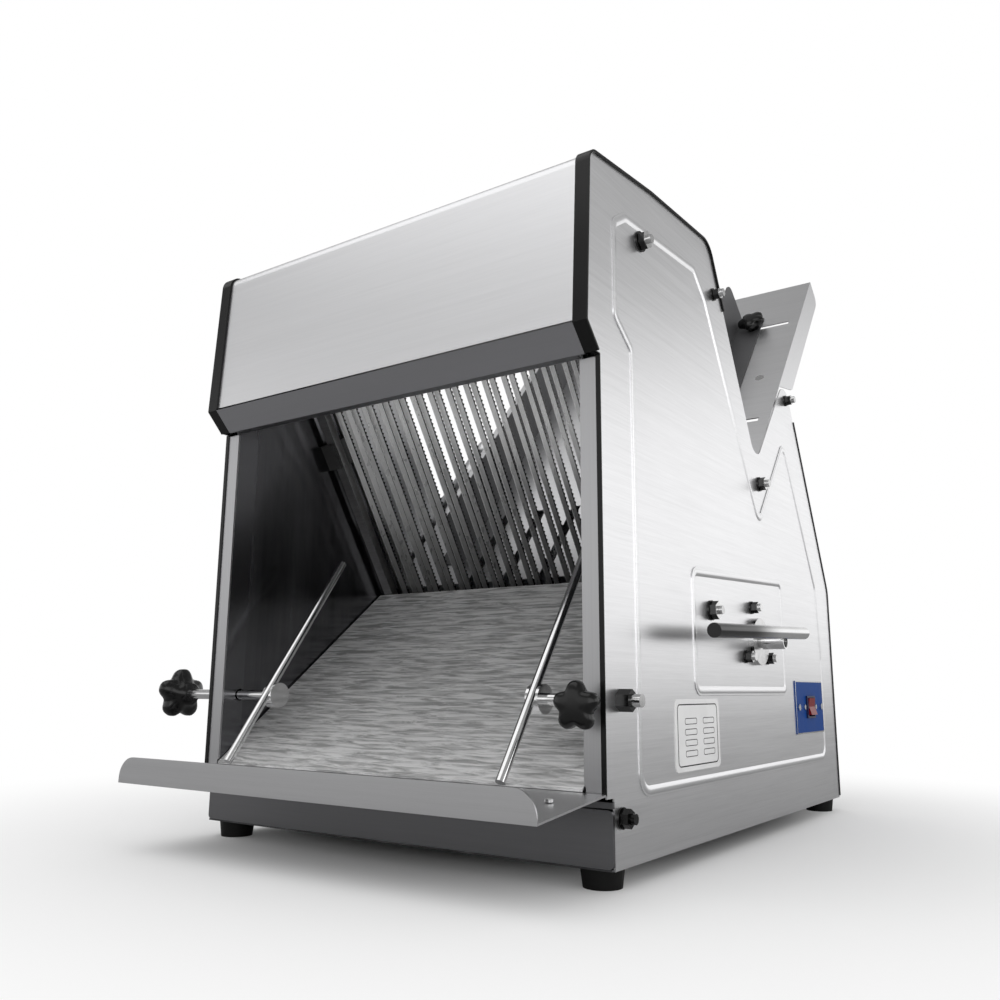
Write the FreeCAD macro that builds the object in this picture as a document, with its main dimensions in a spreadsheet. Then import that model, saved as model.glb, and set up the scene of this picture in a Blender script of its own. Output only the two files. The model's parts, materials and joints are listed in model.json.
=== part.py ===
import FreeCAD, Part
import math
import os
import re
import Sketcher

# Electric bread slicer. X runs across the machine, Y to the rear and Z up.
# Lengths are in millimetres and angles in degrees.
# In the expressions below, x = 0 is the middle of the machine, y = 0 the front
# of the base and z = 0 the floor. Every node is then moved so that the origin
# lies on the floor, below the centre of the whole machine's box.

SIZES = {
    # Casing
    "panel_half": 225.0,
    "panel_skin": 1.5,
    "wall_gap": 16.0,
    "wall_skin": 1.5,
    "foot_tall": 15.0,
    "foot_round": 17.0,
    "foot_taper": 2.0,
    "foot_inset": 20.0,
    "rear_end": 595.0,
    "base_step": 3.0,
    "post_front": 8.0,
    "notch_rise": 66.0,
    "post_top": 406.0,
    # Outline of the hood and of the notch over the feed plate
    "hood_low_out": 33.0,
    "hood_low_rise": 426.0,
    "hood_edge_out": 14.0,
    "hood_high_out": 25.0,
    "hood_high_rise": 579.0,
    "roof_mid_back": 93.0,
    "roof_mid_rise": 594.0,
    "roof_end_back": 232.0,
    "roof_end_rise": 603.0,
    "vee_lean": 28.2,
    "vee_low": 387.0,
    "vee_slope": 48.3,
    "lobe_rise": 520.0,
    "rear_lean": 27.1,
    "rear_trim_top": 470.0,
    "apex_round": 14.0,
    "roof_round": 25.0,
    "vee_round": 18.0,
    "lobe_round": 20.0,
    "rear_round": 30.0,
    # Edge trims, hood sheet and band
    "trim_skin": 2.0,
    "trim_wide": 13.0,
    "trim_lap": 2.0,
    "trim_run": 74.0,
    "hood_skin": 1.2,
    "band_gap": 2.5,
    "band_skin": 1.4,
    "lip_deep": 9.0,
    "post_wide": 13.5,
    "post_deep": 26.0,
    "post_seal": 1.0,
    # Pressed outlines on the side panels
    "bead_wide": 4.0,
    "bead_tall": 0.8,
    "frame_low": 143.0,
    "frame_high": 262.0,
    "frame_front": 162.0,
    "frame_rear": 409.0,
    # Base, rail and crumb drawer
    "pan_skin": 1.5,
    "drawer_front_skin": 2.7,
    "drawer_top": 57.5,
    "drawer_low_gap": 1.5,
    "drawer_round": 4.0,
    "drawer_side_gap": 15.0,
    "drawer_deep": 290.0,
    "drawer_floor": 20.0,
    "drawer_rim": 43.5,
    "drawer_skin": 1.0,
    "drawer_lap": 10.0,
    "runner_tall": 2.0,
    "slide_gap": 0.3,
    "rail_low": 58.5,
    "rail_high": 63.0,
    "rail_skin": 2.5,
    # Chute and front tray
    "chute_side_gap": 4.0,
    "chute_skin": 1.5,
    "chute_foot_out": 9.0,
    "chute_foot_rise": 72.0,
    "chute_slope": 38.5,
    "chute_gap": 20.0,
    "tray_reach": 103.0,
    "tray_low": 59.0,
    "tray_lip": 22.0,
    "tray_skin": 1.5,
    "tray_drop": 2.2,
    "tray_slope": 6.1,
    "tray_seam": 10.0,
    "tray_tongue": 14.0,
    "arm_tall": 3.0,
    "arm_wide": 20.0,
    "arm_reach": 62.0,
    # Blade plane, through the crossing line with the feed plate
    "cross_back": 247.0,
    "cross_rise": 249.0,
    "blade_lean": 33.0,
    "blade_pitch": 12.0,
    "blade_wide": 12.0,
    "blade_skin": 0.8,
    "blade_shift": 2.0,
    "bar_top": 290.0,
    "bar_low": 100.0,
    "bar_tall": 18.0,
    "bar_deep": 10.0,
    "bar_gap": 8.0,
    "bar_side_gap": 9.0,
    "upright_wide": 12.0,
    "hook_wide": 4.0,
    "hook_tall": 6.0,
    "guide_low": 70.0,
    "guide_high": 185.0,
    "guide_long": 30.0,
    "guide_deep": 22.0,
    "fit_gap": 0.1,
    "run_gap": 0.05,
    # Crank drive
    "crank_drop": 205.0,
    "throw": 7.0,
    "crank_round": 10.0,
    "disc_round": 18.0,
    "strap_skin": 6.0,
    "rod_wide": 8.0,
    "rod_pin_drop": 140.0,
    "pin_round": 4.0,
    "front_rod_in": 40.0,
    "rear_rod_in": 70.0,
    "lug_wide": 6.0,
    "lug_skin": 4.0,
    "pulley_round": 50.0,
    "pulley_wide": 11.0,
    "pulley_side_gap": 9.5,
    "belt_tall": 6.0,
    "belt_wide": 8.0,
    "bearing_side_gap": 27.0,
    "bearing_wide": 12.0,
    "bearing_half": 22.0,
    "motor_rear_gap": 115.0,
    "motor_rise": 125.0,
    "motor_round": 70.0,
    "motor_left": 150.0,
    "motor_right": 60.0,
    "motor_pulley_round": 20.0,
    "motor_shaft_round": 8.0,
    "cradle_half": 50.0,
    "cradle_top": 75.0,
    # Pusher
    "pusher_back": 320.0,
    "pusher_rise": 193.0,
    "pusher_round": 6.5,
    "finger_long": 160.0,
    "finger_round": 4.0,
    "finger_pitch": 50.0,
    "finger_lean": 65.0,
    "collar_round": 11.0,
    "collar_wide": 14.0,
    "boss_round": 24.0,
    "boss_tall": 6.0,
    "boss_bolts": 35.5,
    "boss_thread_out": 11.0,
    "handle_out": 31.0,
    "handle_round": 6.5,
    "handle_front": 130.0,
    "handle_long": 252.0,
    "handle_above": 8.5,
    "handle_tilt": 2.3,
    "hub_round": 8.0,
    "hub_gap": 2.0,
    # Feed plate and its guides, along the plate from the crossing line
    "feed_slope": 50.0,
    "feed_side_gap": 7.0,
    "feed_skin": 1.5,
    "feed_low": 24.0,
    "feed_top": 608.0,
    "flange_low": 345.0,
    "flange_deep": 35.0,
    "flange_round": 12.0,
    "slot_low": 278.0,
    "slot_high": 503.0,
    "slot_side_gap": 14.0,
    "slot_long": 54.0,
    "slot_wide": 7.0,
    "finger_slot_top": 150.0,
    "finger_slot_wide": 12.0,
    "fence_in": 88.0,
    "fence_skin": 1.5,
    "fence_tall": 60.0,
    "fence_low": 60.0,
    "fence_top": 540.0,
    "fence_round": 14.0,
    "guide_flange": 36.0,
    "stud_out": 26.0,
    "stud_round": 3.0,
    "stud_deep": 9.0,
    # Star knobs
    "knob_foot": 3.0,
    "knob_lobe": 6.0,
    "knob_core": 11.0,
    "knob_ring": 12.5,
    "knob_tall": 18.0,
    "big_knob_lobe": 8.5,
    "big_knob_core": 15.0,
    "big_knob_ring": 17.5,
    "big_knob_tall": 26.0,
    # Guard rods at the front opening
    "guard_in": 56.0,
    "guard_round": 4.0,
    "guard_back": 14.0,
    "guard_rise": 136.0,
    "guard_foot_out": 40.0,
    "guard_foot_rise": 76.0,
    "guard_slope": 55.0,
    "guard_long": 244.0,
    "clamp_round": 12.0,
    "clamp_half": 6.0,
    "guard_stud_round": 5.0,
    "right_stud_out": 19.0,
    "left_knob_out": 72.0,
    "clamp_knob_in": 11.5,
    "clamp_knob_out": 12.0,
    "clamp_knob_drop": 4.0,
    "clamp_screw_round": 3.0,
    "clamp_screw_tip": 5.5,
    "bush_tall": 11.0,
    "bush_round": 8.5,
    # Tie rods, nuts and screws
    "tie_round": 5.2,
    "thread_round": 4.0,
    "thread_out": 12.0,
    "nut_tall": 6.5,
    "washer_skin": 1.5,
    "big_nut": 8.6,
    "mid_nut": 7.2,
    "small_nut": 5.8,
    "tray_screw_in": 6.0,
    "tray_screw_out": 46.0,
    "feed_screw_in": 30.0,
    "feed_screw_up": 372.0,
    "feed_head_round": 5.6,
    "screw_round": 3.6,
    "screw_tall": 1.6,
    # Nameplate and switch on the right panel
    "name_front": 112.0,
    "name_low": 76.0,
    "name_long": 98.0,
    "name_tall": 60.0,
    "name_skin": 0.6,
    "name_round": 5.0,
    "switch_back": 490.5,
    "switch_rise": 125.0,
    "plate_long": 103.0,
    "plate_tall": 59.0,
    "plate_skin": 1.2,
    "bezel_long": 30.0,
    "bezel_tall": 25.0,
    "bezel_skin": 2.0,
    "switch_deep": 20.0,
    "rocker_half_long": 11.0,
    "rocker_half_tall": 9.5,
    "rocker_tilt": 6.0,
    "gland_side_gap": 55.0,
    "gland_rise": 50.0,
    "gland_bore": 3.5,
    "gland_round": 11.0,
    "gland_long": 18.0,
    "vent_low": 90.0,
    "vent_long": 120.0,
    "vent_tall": 5.0,
    "vent_pitch": 14.0,
}

doc = FreeCAD.newDocument("BreadSlicer")
sheet = doc.addObject("Spreadsheet::Sheet", "Sizes")
for row, (alias, size) in enumerate(SIZES.items(), start=1):
    sheet.set("A%d" % row, alias)
    sheet.set("B%d" % row, str(size))
    sheet.setAlias("B%d" % row, alias)
doc.recompute()

WORD = re.compile(r"\b(%s)\b" % "|".join(sorted(SIZES, key=len, reverse=True)))

# Places that follow from the sizes, half way across unless they say otherwise
DERIVED = {
    "wall_half": "(panel_half - wall_gap)",
    "drawer_half": "(wall_half - drawer_side_gap)",
    "chute_half": "(wall_half - chute_side_gap)",
    "bar_half": "(wall_half - bar_side_gap)",
    "front_rod_at": "(bar_half - front_rod_in)",
    "rear_rod_at": "(bar_half - rear_rod_in)",
    "pulley_at": "(wall_half - pulley_side_gap)",
    "bearing_at": "(wall_half - bearing_side_gap)",
    "motor_back": "(rear_end - motor_rear_gap)",
    "handle_at": "(panel_half + handle_out)",
    "feed_half": "(panel_half - feed_side_gap)",
    "slot_out": "(feed_half - slot_side_gap)",
    "slot_in": "(slot_out - slot_long)",
    "fence_at": "(feed_half - fence_in)",
    "stud_at": "(fence_at + stud_out)",
    "guard_at": "(wall_half - guard_in)",
    "right_stud_end": "(panel_half + right_stud_out)",
    "left_knob_at": "(panel_half + left_knob_out)",
    "clamp_knob_at": "(panel_half - clamp_knob_in)",
    "gland_at": "(panel_half - gland_side_gap)",
}
DERIVED_WORD = re.compile(r"\b(%s)\b" % "|".join(sorted(DERIVED, key=len, reverse=True)))

# Points and places that several pieces share, as expressions
VEE_BACK = "(roof_end_back + (roof_end_rise - vee_low) * tan(vee_lean))"
LOBE_BACK = "(%s + (lobe_rise - vee_low) / tan(vee_slope))" % VEE_BACK
KINK_RISE = "(lobe_rise - (rear_end - %s) / tan(rear_lean))" % LOBE_BACK
TRIM_END = ("roof_end_back + trim_run * sin(vee_lean)", "roof_end_rise - trim_run * cos(vee_lean)")
HOOD_PATH = [
    ("-hood_low_out", "hood_low_rise"),
    ("-hood_high_out", "hood_high_rise"),
    ("roof_mid_back", "roof_mid_rise"),
    ("roof_end_back", "roof_end_rise"),
    TRIM_END,
]
PANEL_IN = "(panel_half - panel_skin)"
WALL_IN = "(wall_half - wall_skin)"
CRANK = ("(cross_back + crank_drop * sin(blade_lean))", "(cross_rise - crank_drop * cos(blade_lean))")
KNOB_REACH = "(left_knob_at + big_knob_tall / 2)"
HANDLE_REACH = "(handle_at + handle_round)"
FEED_REAR = ("(cross_back + (feed_top - flange_round) * cos(feed_slope)"
             " + (flange_deep - flange_round) * sin(feed_slope) + flange_round)")
SHIFT = ("(%s - %s) / 2" % (KNOB_REACH, HANDLE_REACH), "(tray_reach - %s) / 2" % FEED_REAR)

TIE_RODS = [(69, 534, "big_nut"), (240, 547, "small_nut"), (465, 491, "small_nut"), (202, 217, "big_nut"),
            (354, 366, "mid_nut")]
CORNER_BOLT = (14, 51, "mid_nut")
BOSS_BOLT_ANGLES = [105, 207, 333]


def spelled(expression):
    """The expression in sizes alone, with each derived place written out."""
    text = str(expression)
    while DERIVED_WORD.search(text):
        text = DERIVED_WORD.sub(lambda found: DERIVED[found.group(1)], text)
    return text


def bound(expression):
    """The expression with each size's name pointing at its cell."""
    return WORD.sub(r"Sizes.\1", spelled(expression))


def value(expression):
    """The number that an expression gives now."""
    return float(sheet.evalExpression(spelled(expression)))


def bind(thing, prop, expression):
    thing.setExpression(prop, bound(expression))


def place(thing, x=0, y=0, z=0, axis=None, angle=None):
    """Binds where a thing stands, and its turn about one axis."""
    thing.Placement = FreeCAD.Placement()
    if axis:
        turn = FreeCAD.Rotation(FreeCAD.Vector(*axis), max(1.0, abs(value(angle))))
        thing.Placement = FreeCAD.Placement(FreeCAD.Vector(), turn)
        bind(thing, "Placement.Rotation.Angle", angle)
    for name, where in zip("xyz", (x, y, z)):
        bind(thing, "Placement.Base." + name, where)
    return thing


def box(x0, x1, y0, y1, z0, z1):
    """A block between two bounds on each axis."""
    block = doc.addObject("Part::Box", "Block")
    for prop, low, high in (("Length", x0, x1), ("Width", y0, y1), ("Height", z0, z1)):
        bind(block, prop, "(%s) - (%s)" % (high, low))
    return place(block, x0, y0, z0)


def rod(radius, length, x, y, z, along="X"):
    """A cylinder that starts at a point and runs along one axis."""
    cylinder = doc.addObject("Part::Cylinder", "Rod")
    bind(cylinder, "Radius", radius)
    bind(cylinder, "Height", length)
    turns = {"X": ((0, 1, 0), 90), "Y": ((-1, 0, 0), 90), "Z": (None, None)}
    axis, angle = turns[along]
    return place(cylinder, x, y, z, axis, angle)


def hexagon(radius, length, x, y, z):
    """A six-sided nut blank along X."""
    prism = doc.addObject("Part::Prism", "Hexagon")
    prism.Polygon = 6
    bind(prism, "Circumradius", radius)
    bind(prism, "Height", length)
    return place(prism, x, y, z, (0, 1, 0), 90)


def cut(base, *tools):
    """The base without the tools."""
    result = doc.addObject("Part::Cut", "Cut")
    result.Base = base
    result.Tool = tools[0] if len(tools) == 1 else group(*tools)
    return result


def fuse(*parts):
    result = doc.addObject("Part::MultiFuse", "Fusion")
    result.Shapes = list(parts)
    return result


def group(*parts):
    """Separate solids that are handled together."""
    result = doc.addObject("Part::Compound", "Group")
    result.Links = list(parts)
    return result


def mirrored(part):
    """The same part on the other side of the machine."""
    result = doc.addObject("Part::Mirroring", "Mirror")
    result.Source = part
    result.Normal = FreeCAD.Vector(1, 0, 0)
    return result


def outline(owner, points, closed, plane):
    """A sketch through points, each bound to its two expressions."""
    if owner:
        sketch = owner.newObject("Sketcher::SketchObject", "Outline")
        base = [f for f in owner.Origin.OriginFeatures if f.Role == plane][0]
        sketch.AttachmentSupport = [(base, "")]
        sketch.MapMode = "FlatFace"
    else:
        sketch = doc.addObject("Sketcher::SketchObject", "Path")
        sketch.Placement = FreeCAD.Placement(FreeCAD.Vector(), FreeCAD.Rotation(90, 0, 90))
    at = [FreeCAD.Vector(value(a), value(b), 0) for a, b in points]
    count = len(at)
    lines = count if closed else count - 1
    for i in range(lines):
        sketch.addGeometry(Part.LineSegment(at[i], at[(i + 1) % count]), False)
    for i in range(lines if closed else lines - 1):
        sketch.addConstraint(Sketcher.Constraint("Coincident", i, 2, (i + 1) % count, 1))
    for i, (across, up) in enumerate(points):
        line, end = (i, 1) if i < lines else (i - 1, 2)
        for kind, number, expression in (("DistanceX", at[i].x, across), ("DistanceY", at[i].y, up)):
            index = sketch.addConstraint(Sketcher.Constraint(kind, -1, 1, line, end, number))
            bind(sketch, "Constraints[%d]" % index, expression)
    return sketch


def cross_edges(shape, direction, across, up):
    """The edges along a direction, nearest first to a point of the section."""
    found = []
    for number, edge in enumerate(shape.Edges, start=1):
        if len(edge.Vertexes) != 2 or not isinstance(edge.Curve, Part.Line):
            continue
        if edge.tangentAt(edge.FirstParameter).cross(direction).Length > 1e-6:
            continue
        point = edge.Vertexes[0].Point
        pair = (point.x, point.z) if direction.y else (point.y, point.z)
        found.append((math.hypot(pair[0] - across, pair[1] - up), number))
    return [number for distance, number in sorted(found)]


def plate(points, start, thick, rounds=(), plane="YZ_Plane"):
    """A body padded from an outline, with some of its corners rounded."""
    body = doc.addObject("PartDesign::Body", "Plate")
    pad = body.newObject("PartDesign::Pad", "Pad")
    pad.Profile = outline(body, points, True, plane)
    bind(pad, "Length", thick)
    pad.Reversed = plane == "XZ_Plane"
    doc.recompute()
    direction = {"YZ_Plane": (1, 0, 0), "XZ_Plane": (0, 1, 0)}[plane]
    for radius, corners in rounds:
        last = body.Tip
        edges = []
        for corner in corners:
            across, up = points[corner]
            near = cross_edges(last.Shape, FreeCAD.Vector(*direction), value(across), value(up))
            edges.append("Edge%d" % near[0])
        fillet = body.newObject("PartDesign::Fillet", "Rounding")
        fillet.Base = (last, edges)
        bind(fillet, "Radius", radius)
        doc.recompute()
    where = {"YZ_Plane": (start, 0, 0), "XZ_Plane": (0, start, 0)}[plane]
    return place(body, *where)


def bent_sheet(points, thick, start, wide, rounds=()):
    """A sheet bent along a path, its thickness laid to the path's one side."""
    path = outline(None, points, False, None)
    doc.recompute()
    section = doc.addObject("Part::Offset2D", "Section")
    section.Source = path
    section.Mode = "Skin"
    section.Join = "Intersection"
    section.Fill = True
    bind(section, "Value", thick)
    sheet_metal = doc.addObject("Part::Extrusion", "Sheet")
    sheet_metal.Base = section
    sheet_metal.DirMode = "Custom"
    sheet_metal.Dir = FreeCAD.Vector(1, 0, 0)
    sheet_metal.Solid = True
    bind(sheet_metal, "LengthFwd", wide)
    doc.recompute()
    result = sheet_metal
    if rounds:
        result = doc.addObject("Part::Fillet", "Bends")
        result.Base = sheet_metal
        thin = value(thick)
        edges = []
        for radius, corner in rounds:
            size = value(radius)
            across, up = [value(e) for e in points[corner]]
            near = cross_edges(sheet_metal.Shape, FreeCAD.Vector(1, 0, 0), across, up)
            edges += [(near[0], size, size), (near[1], size - thin, size - thin)]
        result.Edges = edges
        doc.recompute()
    return place(result, start, 0, 0)


def straight_sheet(start_point, end_point, drop, start, wide):
    """A flat sheet between two points of the section, with its upright thickness."""
    low = [(y, "%s - %s" % (z, drop)) for y, z in (end_point, start_point)]
    return plate([start_point, end_point] + low, start, wide)


def ring(points, thick, wide, start, rounds):
    """A raised line that follows a closed outline."""
    inside = plate(points, start, thick, rounds)
    doc.recompute()
    face = doc.addObject("Part::Offset2D", "Bead")
    closed = doc.addObject("Part::Feature", "Loop")
    flat = inside.Shape.copy()
    low = min(flat.Faces, key=lambda f: f.CenterOfMass.x)
    closed.Shape = Part.Wire(low.OuterWire.Edges)
    face.Source = closed
    face.Mode = "Pipe"
    face.Join = "Intersection"
    face.Fill = True
    bind(face, "Value", wide)
    raised = doc.addObject("Part::Extrusion", "Raised")
    raised.Base = face
    raised.DirMode = "Custom"
    raised.Dir = FreeCAD.Vector(1, 0, 0)
    raised.Solid = True
    bind(raised, "LengthFwd", thick)
    doc.recompute()
    return raised


nodes = {}


def node(name, *parts, at=None, turn=None):
    """Makes one named piece of the machine and moves it to the shared origin.

    With a turn, the parts are given in a tilted frame whose origin is at."""
    piece = parts[0] if len(parts) == 1 and not turn and parts[0].TypeId != "PartDesign::Body" else group(*parts)
    if piece.TypeId != "Part::Compound":
        piece = group(piece)
    y, z = at or ("0", "0")
    axis = (1, 0, 0) if turn else None
    place(piece, SHIFT[0], "%s + %s" % (SHIFT[1], y), z, axis, turn)
    piece.Label = name
    nodes[name] = piece
    return piece


def on_blades(name, *parts):
    """A node given in the blade plane: y is normal to it, z runs up along it."""
    return node(name, *parts, at=("cross_back", "cross_rise"), turn="blade_lean")


def on_feed(name, *parts):
    """A node given on the feed plate: y runs up along it, z stands on it."""
    return node(name, *parts, at=("cross_back", "cross_rise"), turn="feed_slope")


# Side panels
def panel_outline():
    return [
        ("base_step", "foot_tall"),
        ("base_step", "notch_rise"),
        ("-post_front", "notch_rise"),
        ("-post_front", "post_top"),
        ("-hood_edge_out", "post_top"),
        HOOD_PATH[0],
        HOOD_PATH[1],
        HOOD_PATH[2],
        HOOD_PATH[3],
        (VEE_BACK, "vee_low"),
        (LOBE_BACK, "lobe_rise"),
        ("rear_end", KINK_RISE),
        ("rear_end", "foot_tall"),
    ]


def trim_path():
    return [("-hood_edge_out", "post_top")] + HOOD_PATH


def hood_trim(thick, start, wide):
    rounds = [("apex_round", 2), ("roof_round", 4)]
    return bent_sheet(trim_path(), thick, start, wide, rounds)


BEAD_OUTLINE = [
    ("19", "531"), ("19", "447"), ("48", "426"), ("48", "66"), ("546", "66"), ("551", "181"),
    ("543", "268"), ("446", "432"), ("348", "322"), ("217", "532"), ("190", "556"), ("40", "545"),
]


def side_panel(with_switch):
    rounds = [
        ("apex_round", [6]),
        ("roof_round", [8]),
        ("vee_round", [9]),
        ("lobe_round", [10]),
        ("rear_round", [11]),
    ]
    skin = plate(panel_outline(), PANEL_IN, "panel_skin", rounds)
    holes = [hood_trim("trim_skin", PANEL_IN + " - 1", "panel_skin + 2")]
    for y, z, nut in TIE_RODS + [CORNER_BOLT]:
        holes.append(rod("thread_round", "panel_skin + 2", PANEL_IN + " - 1", y, z))
    holes.append(rod("pusher_round + 2", "panel_skin + 2", PANEL_IN + " - 1", "pusher_back", "pusher_rise"))
    holes.append(rod("guard_stud_round + 1", "panel_skin + 2", PANEL_IN + " - 1", "guard_back", "guard_rise"))
    if with_switch:
        long_half = "(bezel_long / 2 - 2)"
        tall_half = "(bezel_tall / 2 - 1)"
        holes.append(box(PANEL_IN + " - 1", "panel_half + 1",
                         "switch_back - " + long_half, "switch_back + " + long_half,
                         "switch_rise - " + tall_half, "switch_rise + " + tall_half))
    frame = [
        ("frame_front", "frame_low"),
        ("frame_rear", "frame_low"),
        ("frame_rear", "frame_high"),
        ("frame_front", "frame_high - 12"),
    ]
    beads = [
        ring(BEAD_OUTLINE, "bead_tall", "bead_wide", "panel_half", [("14", [3, 4, 6]), ("10", [1, 2, 7, 8, 10, 11, 0])]),
        ring(frame, "bead_tall", "bead_wide", "panel_half", [("8", [0, 1, 2, 3])]),
    ]
    return fuse(cut(skin, *holes), *beads)


node("right_side_panel", side_panel(True))
node("left_side_panel", mirrored(side_panel(False)))


# Inner walls of the slicing chamber, up to just behind the blade frames
def inner_wall():
    lean = "tan(blade_lean)"
    behind = "guide_deep / cos(blade_lean)"
    low = "foot_tall + pan_skin"
    high = "(hood_high_rise - 3)"
    rear_low = "cross_back + (cross_rise - (%s)) * %s + %s" % (low, lean, behind)
    rear_high = "cross_back + (cross_rise - %s) * %s + %s" % (high, lean, behind)
    points = [
        ("base_step + 2", low),
        ("base_step + 2", "notch_rise + 1"),
        ("wall_skin - post_front", "notch_rise + 1"),
        ("wall_skin - post_front", "post_top - 2"),
        ("15 - hood_low_out", "hood_low_rise"),
        ("6 - hood_high_out", "hood_high_rise - 10"),
        (rear_high, high),
        (rear_low, low),
    ]
    skin = plate(points, WALL_IN, "wall_skin")
    holes = [rod("guard_stud_round + 1", "wall_skin + 2", WALL_IN + " - 1", "guard_back", "guard_rise")]
    for y, z, nut in (TIE_RODS[0], TIE_RODS[3]):
        holes.append(rod("tie_round", "wall_skin + 2", WALL_IN + " - 1", y, z))
    holes.append(rod("pusher_round + 3", "wall_skin + 2", WALL_IN + " - 1", "pusher_back", "pusher_rise"))
    return cut(skin, *holes)


node("right_inner_wall", inner_wall())
node("left_inner_wall", mirrored(inner_wall()))


# Trims, posts, hood and rear cover
def edge_trim():
    start = "panel_half + trim_lap - trim_wide"
    over = hood_trim("trim_skin", start, "trim_wide")
    seal = box("wall_half + post_wide - 1.5", "panel_half", "-post_front - post_seal", "-post_front",
               "notch_rise + 3", "post_top - 0.5")
    return group(over, seal)


node("right_edge_trim", edge_trim())
node("left_edge_trim", mirrored(edge_trim()))

REAR_PATH = [(LOBE_BACK + " + (lobe_rise - rear_trim_top) * tan(rear_lean)", "rear_trim_top"), ("rear_end", KINK_RISE),
             ("rear_end", "foot_tall + 2")]


def rear_trim():
    return bent_sheet(REAR_PATH, "-trim_skin", "panel_half - 4", "5", [("rear_round", 1)])


node("rear_edge_trims", rear_trim(), mirrored(rear_trim()))


def post(*holes):
    flange = box(WALL_IN, "wall_half + post_wide - 1.5", "-post_front", "wall_skin - post_front",
                 "notch_rise + 1", "post_top - 2")
    side = box(WALL_IN + " - wall_skin", WALL_IN, "-post_front", "post_deep - post_front",
               "notch_rise + 8", "post_top - 2")
    hole = rod("guard_stud_round + 1", "wall_skin + 2", WALL_IN + " - wall_skin - 1", "guard_back", "guard_rise")
    return fuse(cut(flange, *holes) if holes else flange, cut(side, hole))


def clamp_screw(radius, front, back):
    """A cylinder on the clamp knob's axis, from front to back."""
    return rod(radius, "(%s) - (%s)" % (back, front), "clamp_knob_at", front, "guard_rise - clamp_knob_drop", "Y")


screw_hole = clamp_screw("clamp_screw_round + 0.5", "-post_front - 1", "wall_skin + 1 - post_front")
node("front_posts", post(screw_hole), mirrored(post()))

hood_start = "-" + PANEL_IN
hood_wide = "2 * " + PANEL_IN
outer = bent_sheet(HOOD_PATH, "trim_skin + hood_skin", hood_start, hood_wide,
                   [("apex_round", 1), ("roof_round", 3)])
inner = bent_sheet(HOOD_PATH, "trim_skin", hood_start + " - 1", hood_wide + " + 2",
                   [("apex_round", 1), ("roof_round", 3)])
foot = box(hood_start + " - 1", PANEL_IN + " + 1", "-hood_low_out - 1", "0", "hood_low_rise - 1",
           "hood_low_rise + band_gap")
node("hood_cover", cut(outer, inner, foot))

band_half = "(panel_half + trim_lap - trim_wide)"
band_low, band_high = trim_path()[:2]
band_points = [band_low, band_high] + [(y + " + 1.4 * band_skin", z) for y, z in (band_high, band_low)]
band = plate(band_points, "-" + band_half, "2 * " + band_half)
lip = box("-chute_half", "chute_half", "-hood_edge_out + 1.5", "-hood_edge_out + 1.5 + lip_deep",
          "post_top + 0.4", "post_top + 0.4 + band_skin")
node("hood_band", fuse(band, lip))

rear = bent_sheet(REAR_PATH, "hood_skin", hood_start, hood_wide, [("rear_round", 1)])
vents = []
for i in range(8):
    low = "vent_low + %d * vent_pitch" % i
    for side in (-1, 1):
        middle = "%d * (vent_long / 2 + 15)" % side
        vents.append(box("%s - vent_long / 2" % middle, "%s + vent_long / 2" % middle,
                         "rear_end - 5", "rear_end + 5", low, low + " + vent_tall"))
gland_hole = rod("gland_round - 3", "10", "gland_at", "rear_end - 5", "gland_rise", "Y")
node("rear_cover", cut(rear, gland_hole, *vents))
gland_nut = rod("gland_round", "4", "gland_at", "rear_end", "gland_rise", "Y")
gland_body = rod("gland_round - 3", "gland_long", "gland_at", "rear_end - hood_skin - 6", "gland_rise", "Y")
gland_bore = rod("gland_bore", "gland_long + 2", "gland_at", "rear_end - hood_skin - 7", "gland_rise", "Y")
node("cable_gland", cut(fuse(gland_nut, gland_body), gland_bore))

# Base, feet, rail and crumb drawer
node("base_pan", box("-" + PANEL_IN, PANEL_IN, "0", "rear_end - hood_skin", "foot_tall", "foot_tall + pan_skin"))

feet = []
for side in (-1, 1):
    for back in ("foot_inset", "rear_end - foot_inset"):
        foot = doc.addObject("Part::Cone", "Foot")
        bind(foot, "Radius1", "foot_round - foot_taper")
        bind(foot, "Radius2", "foot_round")
        bind(foot, "Height", "foot_tall")
        feet.append(place(foot, "%d * (panel_half - foot_inset)" % side, back, "0"))
node("rubber_feet", *feet)


def tray_floor(x0, x1, y0, y1):
    """A strip of the front tray's sloping floor."""
    top = "(chute_foot_rise - tray_drop + (%s + 8) * tan(tray_slope))"
    drop = "tray_skin / cos(tray_slope)"
    return straight_sheet((y0, top % y0), (y1, top % y1), drop, x0, "(%s) - (%s)" % (x1, x0))


ARM_TOP = "(chute_foot_rise - tray_drop + (%s + 8) * tan(tray_slope) - tray_skin / cos(tray_slope))"
rail_parts = [box("-panel_half", "panel_half", "base_step - rail_skin", "base_step", "rail_low", "rail_high")]
for side in (-1, 1):
    near = "(%d * (chute_half - 1) - arm_wide / 2 * (1 + %d))" % (side, side)
    arm = straight_sheet(("-arm_reach", ARM_TOP % "(-arm_reach)"), ("12", ARM_TOP % "12"), "arm_tall", near,
                         "arm_wide")
    block = box(near, near + " + arm_wide", "base_step - rail_skin", "base_step + 9", "rail_high",
                "(" + ARM_TOP % "base_step" + ") - 1.5")
    rail_parts += [arm, block]
node("front_rail", fuse(*rail_parts))

front_points = [
    ("-panel_half", "foot_tall + drawer_low_gap"),
    ("panel_half", "foot_tall + drawer_low_gap"),
    ("panel_half", "drawer_top"),
    ("-panel_half", "drawer_top"),
]
drawer_plate = plate(front_points, "0", "drawer_front_skin", [("drawer_round", [0, 1, 2, 3])], "XZ_Plane")
node("drawer_front", drawer_plate)

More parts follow.
